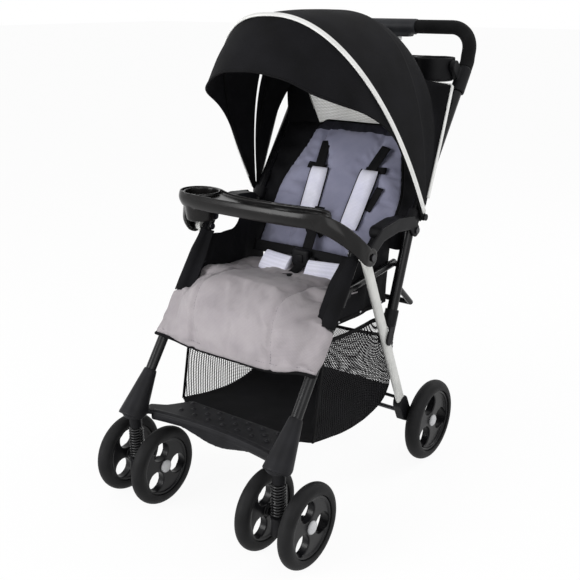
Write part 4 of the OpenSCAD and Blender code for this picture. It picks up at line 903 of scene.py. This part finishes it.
backFront, backRear = [gridOf(back["rows"], back["columns"], lambda u, v: backPoint(u, v, padding))
                       for padding in (1, 0)]
backCushion = shellPiece("backCushion", backFront, backRear, "back")
backCushion.data.materials.append(finishes["topMesh"])
backCushion.data.materials.append(finishes["binding"])
swell(backCushion, heldPoints(backFront, back["channelX"], back["holdReach"]), back["slack"])
for face in backCushion.data.polygons:
    centre = np.array(face.center) - backPin
    if centre @ backOut > back["rear"] + 0.001 and centre @ backUp > back["bandFrom"]:
        face.material_index = 1
    elif centre @ backOut < back["rear"] + 0.0005:
        face.material_index = 2
settle(backCushion, "back", "back_cloth", "backrest")
backMiddle = backFront * 0.6 + backRear * 0.4
rim = np.concatenate([backMiddle[:, 0], backMiddle[-1, 1:], backMiddle[-2::-1, -1]])
settle(barPiece("backEdging", resample(rim, 150), 0.008, 0.008, "binding"), "back", "black_cloth")
stitchRows = channelPaths(backFront[2:-8], back["channelX"], backOut * 0.0004)
backStitches = beadPiece("backStitches", stitchRows, "thread", stitch["spacing"], stitch["size"])
settle(backStitches, "back", "back_cloth")
print("back made")


# Shoulder pads, straps, waist belt and buckle

harness = {
    "pads": {1: ((0.076, 0.187), (0.071, 0.046)), -1: ((-0.053, 0.180), (-0.043, 0.066))}, "padHalf": 0.0235,
    "padThickness": 0.012, "padRows": 30, "padColumns": 13, "lie": 0.0335, "slotTop": 0.247,
    "strapTop": {1: 0.092, -1: -0.064}, "label": ((0.114, 0.150), (0.108, 0.120), (0.101, 0.094)),
    "belt": [(-0.150, 0.038, 0.494), (-0.100, 0.034, 0.495), (-0.045, 0.026, 0.499), (0.0, 0.022, 0.500),
             (0.045, 0.026, 0.499), (0.100, 0.034, 0.495), (0.150, 0.038, 0.494)],
    "rise": [(0, 0.024, 0.488), (0, 0.040, 0.520), (0, 0.062, 0.560), (0, 0.082, 0.592)],
    "crotch": [(0, -0.056, 0.4695), (0, -0.030, 0.467), (0, -0.006, 0.470), (0, 0.010, 0.480),
               (0, 0.018, 0.492)],
    "waistPad": ((0.024, -0.003, 0.474), (0.060, 0.000, 0.475), (0.098, 0.006, 0.476)),
}


def strap(path, width=0.025, thickness=0.0018, side=(1, 0, 0), sides=10):
    return barPiece("strap", path, width, thickness, "webbing", side, sides, 0.5)


def onHarness(x, up, out):
    return onBack(x, up, harness["lie"] + out)


slotOut = back["rear"] + back["thickness"] * 0.95 + 0.002
pads = []
straps = []
for side in (1, -1):
    (topX, topUp), (footX, footUp) = harness["pads"][side]

    def padPoint(u, v, padding):
        u = 1 - 2 * u
        x = footX + (topX - footX) * v
        up = footUp + (topUp - footUp) * v
        edge = (1 - abs(u) ** 4) * (1 - abs(2 * v - 1) ** 10)
        x += u * harness["padHalf"] * (1 - 0.10 * abs(2 * v - 1) ** 8)
        puff = 0.0012 * wobble((x, up, 0), 0.016, 2.0) * edge
        return onHarness(x, up, padding * (0.003 + harness["padThickness"] * edge * 0.8 + puff))

    front, under = [gridOf(harness["padRows"], harness["padColumns"], lambda u, v: padPoint(u, v, padding))
                    for padding in (1, 0)]
    pad = shellPiece("pad", front, under, "pads")
    smoother = pad.modifiers.new("subdivide", "SUBSURF")
    smoother.levels = 1
    pads.append(finishModifiers(pad))
    top = [onHarness(topX, topUp - 0.014, 0.002), onHarness(topX + 0.004 * side, topUp + 0.012, 0.002),
           onBack(harness["strapTop"][side], harness["slotTop"], slotOut)]
    foot = [onHarness(footX, footUp + 0.014, 0.003), onHarness(footX - 0.012 * side, footUp - 0.014, 0.005),
            onHarness(0.018 * side, 0.034, 0.008), onHarness(0.006 * side, 0.022, 0.008)]
    tab = [onHarness(topX - 0.013 * side, topUp, 0), onHarness(topX + 0.036 * side, topUp + 0.004, -0.001)]
    straps += [strap(smoothPath(top, 20)), strap(smoothPath(foot, 16)),
               strap(resample(tab, 6), 0.016, 0.002, backUp)]
    straps += [barPiece("strap", front[:, lane], 0.003, 0.003, "webbing", None, 8) for lane in (0, -1)]
shoulderPads = settle(joined("shoulderPads", pads), "back", "pad_cloth", "shoulder_straps")
label = [onHarness(x, up, 0.001) for x, up in harness["label"]]
straps.append(strap(smoothPath(label, 12), 0.018, 0.0015, sides=8))
settle(joined("shoulderStraps", straps), "back", "black_cloth")

waist = [strap(smoothPath(harness["belt"], 40), 0.025, 0.002, (0, 0.3, 1)),
         strap(smoothPath(harness["rise"], 20), 0.026, 0.002),
         strap(smoothPath(harness["crotch"], 24), 0.026, 0.0025)]
waistLines = [smoothPath(np.array(harness["waistPad"]) * np.array((side, 1, 1)), 24) for side in (1, -1)]
cushions = [barPiece("pad", path, 0.046, 0.012, "pads", (0, 0.8, 1), 40, 0.8) for path in waistLines]
waistPads = joined("waistPads", cushions)
settle(waistPads, "seat", "pad_cloth")
settle(joined("waistStraps", waist), "seat", "black_cloth")


# A rounded box between two corners
def roundedBox(name, low, high, radius, finish):
    work = bmesh.new()
    bmesh.ops.create_cube(work, size=1.0)
    for v in work.verts:
        v.co = Vector((v.co[k] + 0.5) * (high[k] - low[k]) + low[k] for k in range(3))
    bmesh.ops.bevel(work, geom=work.edges[:], offset=radius, segments=3, affect="EDGES", profile=0.5)
    for face in work.faces:
        face.smooth = True
    return workPiece(name, work, [finishes[finish]])


buckleBoxes = [((-0.021, 0.006, 0.474), (0.021, 0.021, 0.512), 0.005),
               ((-0.009, 0.003, 0.484), (0.009, 0.008, 0.502), 0.002),
               ((-0.036, 0.010, 0.478), (-0.022, 0.020, 0.498), 0.003),
               ((0.022, 0.010, 0.478), (0.036, 0.020, 0.498), 0.003)]
buckle = joined("harnessBuckle", [roundedBox("buckle", *box, "plastic") for box in buckleBoxes])
settle(buckle, "seat", "plastic", "harness_buckle")
print("harness made")


# Cloth sides in folds, and wings between the back and the push tubes

sides = {
    "x": 0.1705, "legX": 0.1800, "legGap": 0.010, "rear": 0.085, "lean": 0.022, "stepY": -0.018,
    "stepLong": 0.055, "lowFront": 0.417, "lowRear": 0.412, "highFront": 0.537, "highRear": 0.576,
    "blend": (-0.135, -0.080), "pleats": 4.6, "foldDepth": 0.0040, "thickness": 0.0014,
    "rows": 26, "columns": 110, "sag": 0.002, "legShare": 0.12,
    "rivetY": (-0.100, -0.045, 0.010, 0.060), "rivetSize": 0.006, "rivetStep": 0.0535,
}
topFront = legY(sides["highFront"]) + sides["legGap"]


def hem(path, width, thickness=0.0025, side=(0, 0, 1)):
    return barPiece("hem", path, width, thickness, "binding", side, 10, 0.6)


def sidePoint(u, v):
    u = 1 - u
    frontY = legY(sides["lowFront"] + (sides["highFront"] - sides["lowFront"]) * v) + sides["legGap"]
    rearY = sides["rear"] + sides["lean"] * v
    low = sides["lowFront"] + (sides["lowRear"] - sides["lowFront"]) * u - sides["sag"] * sin(u * pi)
    # The top edge stays low in front, where the tray's cup comes down in the folded pose
    along = topFront + (sides["rear"] + sides["lean"] - topFront) * u - sides["stepY"]
    high = sides["highFront"] + (sides["highRear"] - sides["highFront"]) * ease(along / sides["stepLong"])
    # Pleats of uneven width that fan out from the top edge
    phase = sides["pleats"] * u + 0.55 * sin(4.1 * u + 0.6) + 0.25 * sin(9.0 * u + 1.3 * v)
    wave = 0.5 + 0.5 * cos(2 * pi * phase)
    fold = sides["foldDepth"] * wave ** 1.5 * (0.4 + 0.6 * sin(pi * (0.15 + 0.75 * v)))
    fold += 0.0010 * wobble((0.3, u * 0.2, v * 0.12), 0.03, 7.0)
    x = sides["legX"] + (sides["x"] - fold - sides["legX"]) * ease(u / sides["legShare"])
    return (x, frontY + (rearY - frontY) * u, low + (high - low) * v)


sideGrid = gridOf(sides["rows"], sides["columns"], sidePoint)
rightSide = sheetPiece("sideClothRight", sideGrid, sides["thickness"], "hood")
for piece in (rightSide, mirrored("sideClothLeft", rightSide)):
    settleOnSeat(piece, "black_cloth", *sides["blend"])
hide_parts("side_panels")
edges = [resample(sideGrid[0] * np.array((side, 1, 1)), 80) for side in (1, -1)]
settleOnSeat(joined("sideHem", [hem(edge, 0.010, 0.0026) for edge in edges]), "black_cloth", *sides["blend"])
rivetRows = [[(side * (sides["x"] + 0.0016), y, sides["lowFront"] - 0.005 * (y + 0.148) / 0.233 + 0.002)
              for y in sides["rivetY"]] for side in (1, -1)]
sideRivets = beadPiece("sideRivets", rivetRows, "steel", sides["rivetStep"], (sides["rivetSize"],) * 3)
settleOnSeat(sideRivets, "steel", *sides["blend"])

wing = {
    "tube": [(0.100, 0.532), (0.112, 0.562), (0.150, 0.612), (0.200, 0.684), (0.246, 0.748)], "x": 0.2010,
    "wrap": 0.0118, "folds": 5, "rows": 40, "columns": 16, "foot": 0.030, "gap": 0.004, "thickness": 0.0014,
    "bulge": 0.008, "footBulge": 0.012, "foldDepth": 0.004, "blendX": (0.188, 0.150),
}
tubeLine = smoothPath(wing["tube"], wing["rows"], 2)
for side, end in ((1, "right"), (-1, "left")):
    def wingPoint(u, v):
        if side > 0:
            u = 1 - u
        up = wing["foot"] + (back["top"] - wing["gap"] - wing["foot"]) * v
        half = backHalf((up - back["bottom"]) / (back["top"] - back["bottom"])) + wing["gap"]
        inner = onBack(side * half, up, back["rear"] + 0.006)
        y, z = tubeLine[round(v * (wing["rows"] - 1))]
        outer = np.array((side * wing["x"], y, z)) + backOut * wing["wrap"]
        bulge = wing["bulge"] + wing["footBulge"] * (1 - v) ** 4
        bulge += wing["foldDepth"] * cos(v * wing["folds"] * 2 * pi)
        return inner + (outer - inner) * u - backOut * sin(u * pi) * bulge

    wingGrid = gridOf(wing["rows"], wing["columns"], wingPoint)
    made = sheetPiece("backWing" + end.capitalize(), wingGrid, wing["thickness"], "hood")
    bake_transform(made)

# Pale mesh window between the back's top and the hood's rear edge, with a black strip on each side
window = {
    "low": (0.2600, 0.744), "high": (0.2485, 0.853), "lowHalf": 0.128, "highHalf": 0.166, "sag": 0.016,
    "crease": 0.003, "stripLow": (0.1960, 0.2300), "stripHigh": (0.2150, 0.2490), "stripSag": 0.004,
    "lap": 0.985, "rows": 22, "columns": 44, "stripColumns": 14, "thickness": 0.0012,
    "stripThickness": 0.0014,
}


def windowPoint(u, v):
    x = u * (window["lowHalf"] + (window["highHalf"] - window["lowHalf"]) * v)
    crease = window["crease"] * sin(u * 9 + v * 2) * sin(v * pi)
    y, z = [a + (b - a) * v for a, b in zip(window["low"], window["high"])]
    return np.array((x, y + window["sag"] * sin(v * pi) * (1 - u * u) + crease, z))


windowGrid = gridOf(window["rows"], window["columns"], lambda u, v: windowPoint(1 - 2 * u, v))
windowCloth = sheetPiece("rearWindow", windowGrid, window["thickness"], "window")
settle(windowCloth, "push_frame", "black_cloth")
for side, end in ((1, "Right"), (-1, "Left")):
    def stripPoint(u, v):
        if side > 0:
            u = 1 - u
        inner = windowPoint(side * window["lap"], v)
        outX, outY = [a + (b - a) * v for a, b in zip(window["stripLow"], window["stripHigh"])]
        outer = np.array((side * outX, outY, inner[2]))
        return inner + (outer - inner) * u + np.array((0, window["stripSag"] * sin(u * pi), 0))

    stripGrid = gridOf(window["rows"], window["stripColumns"], stripPoint)
    made = sheetPiece("windowStrip" + end, stripGrid, window["stripThickness"], "hood")
    settle(made, "push_frame", "black_cloth")
print("side cloth made")


# Basket: a sagging black floor that turns up at the rear, with see-through mesh above it

basket = {
    "line": [(-0.216, 0.190), (-0.200, 0.189), (-0.160, 0.180), (-0.100, 0.167), (-0.050, 0.160),
             (0.000, 0.159), (0.050, 0.165), (0.088, 0.178), (0.108, 0.204)],
    "rear": [(0.108, 0.204), (0.114, 0.235), (0.116, 0.260), (0.119, 0.318)], "meshFrom": -0.194,
    "top": [(-0.148, 0.391), (-0.050, 0.381), (0.066, 0.384), (0.116, 0.330)], "half": 0.1738, "lip": 0.003,
    "floorRows": 48, "floorColumns": 49, "sideRows": 22, "rearRows": 24, "meshColumns": 60,
    "noseIn": 0.026, "noseY": (-0.186, -0.026), "thickness": 0.0014, "meshThickness": 0.0010, "slant": 0.9,
}
floorLine = smoothPath(basket["line"], basket["floorRows"], 2)


def floorPoint(u, v):
    u = 1 - 2 * u
    y, z = floorLine[round(v * (basket["floorRows"] - 1))]
    half = basket["half"] - basket["noseIn"] * ramp(y, *basket["noseY"])
    lift = 0.002 + basket["lip"] * abs(u) ** 14 + 0.0015 * wobble((u * 0.17, y, z), 0.04, 3.0)
    return (u * half, y, z + lift)


floorGrid = gridOf(basket["floorRows"], basket["floorColumns"], floorPoint)
floorCloth = sheetPiece("basketFloor", floorGrid, basket["thickness"], "hood")
settle(floorCloth, "front_frame", "black_cloth", "basket")

lowLine = np.concatenate([floorLine + np.array((0, basket["lip"])), smoothPath(basket["rear"], 20, 2)])
lowLine = resample(lowLine[lowLine[:, 0] > basket["meshFrom"]], basket["meshColumns"])
topLine = smoothPath(basket["top"], basket["meshColumns"], 2)
rearLine = smoothPath(basket["rear"], basket["rearRows"], 2)


def meshSidePoint(u, v):
    k = round((1 - u) * (basket["meshColumns"] - 1))
    y, z = lowLine[k] + (topLine[k] - lowLine[k]) * v
    return (basket["half"] - 0.006 * sin(v * pi) * (0.8 + 0.2 * sin(k * 0.2)), y, z)


def meshRearPoint(u, v):
    u = 2 * u - 1
    y, z = rearLine[round(v * (basket["rearRows"] - 1))]
    return (u * basket["half"], y - 0.001, z - 0.010 * (1 - u * u) * v)


meshGrid = gridOf(basket["sideRows"], basket["meshColumns"], meshSidePoint)
meshRight = sheetPiece("basketMeshRight", meshGrid, basket["meshThickness"], "mesh")
meshLeft = mirrored("basketMeshLeft", meshRight)
meshGrid = gridOf(basket["rearRows"], basket["meshColumns"], meshRearPoint)
meshRear = sheetPiece("basketRear", meshGrid, basket["meshThickness"], "rearMesh")
for piece, flat in ((meshRight, (0.33, 0.20)), (meshLeft, (0.33, 0.20)), (meshRear, (0.35, 0.115))):
    settle(piece, "front_frame", "black_cloth")
hems = []
for side in (1, -1):
    x = side * basket["half"]
    tab = [(x - 0.001 * side, -0.150, 0.382), (0.1778 * side, -0.192, 0.380)]
    hems += [hem([(x, y, z) for y, z in topLine], 0.010), hem(resample(tab, 6), 0.014),
             hem(resample([(x, *lowLine[0]), (x, *topLine[0])], 12), 0.008, side=(0, 1, 0))]
hems.append(hem(meshGrid[-1], 0.008))
frontY, frontZ = basket["line"][0]
frontEdge = [(x, frontY + 0.001, frontZ + 0.004) for x in np.linspace(-0.145, 0.145, 30)]
hems.append(hem(frontEdge, 0.010, 0.004, (0, 0.5, 1)))
settle(joined("basketHems", hems), "front_frame", "black_cloth")
print("basket made")


# Springs, grips, hub caps

spring = {"wire": 0.0040, "turns": 11, "steps": 26}
wire = spring["wire"]
for end in ("right", "left"):
    low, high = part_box("castor_spring_" + end)
    middle = ((low[0] + high[0]) / 2, (low[1] + high[1]) / 2)
    radius = (high[0] - low[0] - wire) / 2
    coil = []
    for share in np.linspace(0, 1, spring["turns"] * spring["steps"] + 1):
        angle = 2 * pi * spring["turns"] * share
        z = low[2] + wire * 0.55 + (high[2] - low[2] - wire * 1.1) * share
        coil.append((middle[0] + radius * cos(angle), middle[1] + radius * sin(angle), z))
    made = barPiece("spring" + end.capitalize(), coil, wire, wire, "spring", (0, 0, 1), 10)
    settle(made, "castor_" + end, "spring", "castor_spring_" + end)
    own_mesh(made)

handle = {"top": 0.962, "lean": 17.0, "bend": 0.050, "x": 0.204, "grip": 0.030, "gripEnd": 0.069,
          "low": ((0.3305, 0.8787), (0.3395, 0.8925))}
lean = radians(handle["lean"])
bowUp = np.array((0, sin(lean), cos(lean)))
bowTop = np.array((0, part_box("handle_grips")[1][1] - handle["grip"] / 2 * cos(lean), handle["top"]))
bendMiddle = bowTop + np.array((handle["x"] - handle["bend"], 0, 0)) - bowUp * handle["bend"]
path = list(resample([(handle["x"], *place) for place in handle["low"]], 4))
bendFoot = bendMiddle + np.array((handle["bend"], 0, 0))
path += list(resample([bendFoot - bowUp * 0.012, bendFoot], 3))
for a in np.linspace(0, pi / 2, 18)[1:]:
    path.append(bendMiddle + handle["bend"] * (np.array((cos(a), 0, 0)) + bowUp * sin(a)))
path.append(bowTop + np.array((handle["gripEnd"], 0, 0)))
grips = []
for side in (1, -1):
    line = resample(smoothPath(np.array(path) * np.array((side, 1, 1)), 120, 1), 90)
    grips.append(barPiece("grip", line, handle["grip"], handle["grip"], "foam", None, 24))
settle(joined("foamGrips", grips), "push_frame", "foam", "handle_grips")

caps = {"radius": 0.0135, "height": 0.006, "sides": 28, "sunk": 0.0045,
        "profile": [(1.0, 0.0), (1.0, 0.5), (0.86, 0.85), (0.45, 1.0)], "tip": 1.05}


# A shallow dome facing outwards along X on the end of an axle
def domeCap(axle, direction):
    low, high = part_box(axle)
    x = (high[0] if direction > 0 else low[0]) - caps["sunk"] * direction
    y, z = (low[1] + high[1]) / 2, (low[2] + high[2]) / 2
    count = caps["sides"]
    points, faces = [], []
    for r, h in caps["profile"]:
        for k in range(count):
            a = 2 * pi * k / count * direction
            points.append((x + h * caps["height"] * direction, y + r * caps["radius"] * cos(a),
                           z + r * caps["radius"] * sin(a)))
    last = len(points) - count
    points += [(x + caps["height"] * caps["tip"] * direction, y, z), (x, y, z)]
    for k in range(count):
        n = (k + 1) % count
        faces += [(i + k, i + n, i + count + n, i + count + k) for i in range(0, last, count)]
        faces += [(last + k, last + n, len(points) - 2), (n, k, len(points) - 1)]
    return meshPiece("cap", points, faces, "cap")


capped = {"strut_left": "front_axle_left", "strut_right": "front_axle_right", "rear_frame": "rear_axle"}
for body, axle in capped.items():
    made = joined("hubCaps_" + body, [domeCap(axle, direction) for direction in (1, -1)])
    settle(made, body, "trigger")
print("springs, grips and caps made")


# Leg covers: black cloth sleeves with a flap beside each front leg, from the hub to the seat

cover = {"top": 0.545, "foot": 0.426, "radius": 0.0160, "flap": 0.016, "taper": 0.78, "rows": 30,
         "columns": 20, "thickness": 0.0014}
legUp = np.array((0, sin(radians(legs["lean"])), cos(radians(legs["lean"]))))
legOut = np.array((0, -legUp[2], legUp[1]))
wide, flap = cover["radius"], cover["flap"]
section = smoothPath([(-wide - flap, 0.004), (-wide - flap * 0.5, 0.005), (-wide * 0.95, 0.007),
                      (-wide * 0.6, 0.0142), (0, 0.0168), (wide * 0.62, 0.0142), (wide * 0.98, 0.003)],
                     cover["columns"], 2)


def coverPoint(u, v):
    z = cover["foot"] + (cover["top"] - cover["foot"]) * v
    onLeg = np.array((legs["x"], *legs["hub"])) + legUp * (z - legs["hub"][1]) / legUp[2]
    slim = 1 - (1 - cover["taper"]) * ease((v - 0.55) / 0.40)
    across, out = section[round((1 - u) * (cover["columns"] - 1))] * slim
    return onLeg + np.array((across, 0, 0)) + legOut * (out + 0.0008 * wobble((across, 0, z), 0.02))


coverGrid = gridOf(cover["rows"], cover["columns"], coverPoint)
coverRight = sheetPiece("legCoverRight", coverGrid, cover["thickness"], "hood")
for piece in (coverRight, mirrored("legCoverLeft", coverRight)):
    settle(piece, "front_frame", "black_cloth")
print("leg covers made")


# Stage, light and camera

# 1 for a camera, glossy or transmission ray, else 0
def seenRays(tree):
    rays = addNode(tree, "LightPath").outputs
    seen = rays["Is Camera Ray"]
    for kind in ("Is Glossy Ray", "Is Transmission Ray"):
        seen = addNode(tree, "Math", {0: seen, 1: rays[kind]}, operation="MAXIMUM").outputs["Value"]
    return seen


stage = {"half": 30.0, "glow": 0.93, "worldLight": 0.55}
floorMaterial, tree, shader, coords, out = newMaterial("studioFloor")
feed(shader, {"Base Color": linear("#ffffff"), "Roughness": 0.9})
glow = addNode(tree, "Emission", {"Color": (1, 1, 1, 1), "Strength": 1.0})
share = addNode(tree, "Math", {0: seenRays(tree), 1: stage["glow"]}, operation="MULTIPLY")
mixed = addNode(tree, "MixShader", {0: share.outputs["Value"], 1: shader.outputs[0], 2: glow.outputs[0]})
feed(out, {"Surface": mixed.outputs[0]})
floorMesh = bpy.data.meshes.new("studioFloor")
corners = [(x * stage["half"], y * stage["half"], 0) for x, y in ((-1, -1), (1, -1), (1, 1), (-1, 1))]
floorMesh.from_pydata(corners, [], [(0, 1, 2, 3)])
floorMesh.materials.append(floorMaterial)
newObject("studioFloor", floorMesh)

world = bpy.data.worlds.new("studio")
scene.world = world
world.use_nodes = True
tree = world.node_tree
tree.nodes.clear()
dim, white = [addNode(tree, "Background", {"Color": (1, 1, 1, 1), "Strength": strength})
              for strength in (stage["worldLight"], 1.0)]
mixed = addNode(tree, "MixShader", {0: seenRays(tree), 1: dim.outputs[0], 2: white.outputs[0]})
addNode(tree, "OutputWorld", {"Surface": mixed.outputs[0]})


def areaLight(name, place, target, size, power):
    data = bpy.data.lights.new(name, "AREA")
    data.size = size
    data.energy = power
    made = newObject(name, data)
    made.location = place
    made.rotation_euler = (Vector(target) - Vector(place)).to_track_quat("-Z", "Y").to_euler()


areaLight("keyLight", (-1.2, -2.8, 1.4), (0, 0, 0.6), 1.6, 62)
areaLight("fillLight", (2.6, -1.8, 2.0), (0, 0, 0.5), 2.0, 26)
areaLight("rimLight", (1.4, 2.2, 2.6), (0, 0, 0.6), 1.4, 30)

view = {"place": (1.0422, -1.4373, 1.0212), "turn": (71.38, 0.0, 36.49), "lens": 53.68, "sensor": 36.0}
cameraData = bpy.data.cameras.new("camera")
cameraData.lens = view["lens"]
cameraData.sensor_width = view["sensor"]
camera = newObject("camera", cameraData)
camera.location = view["place"]
camera.rotation_euler = [radians(a) for a in view["turn"]]
scene.camera = camera
scene.view_settings.view_transform = "Standard"

print("scene ready")
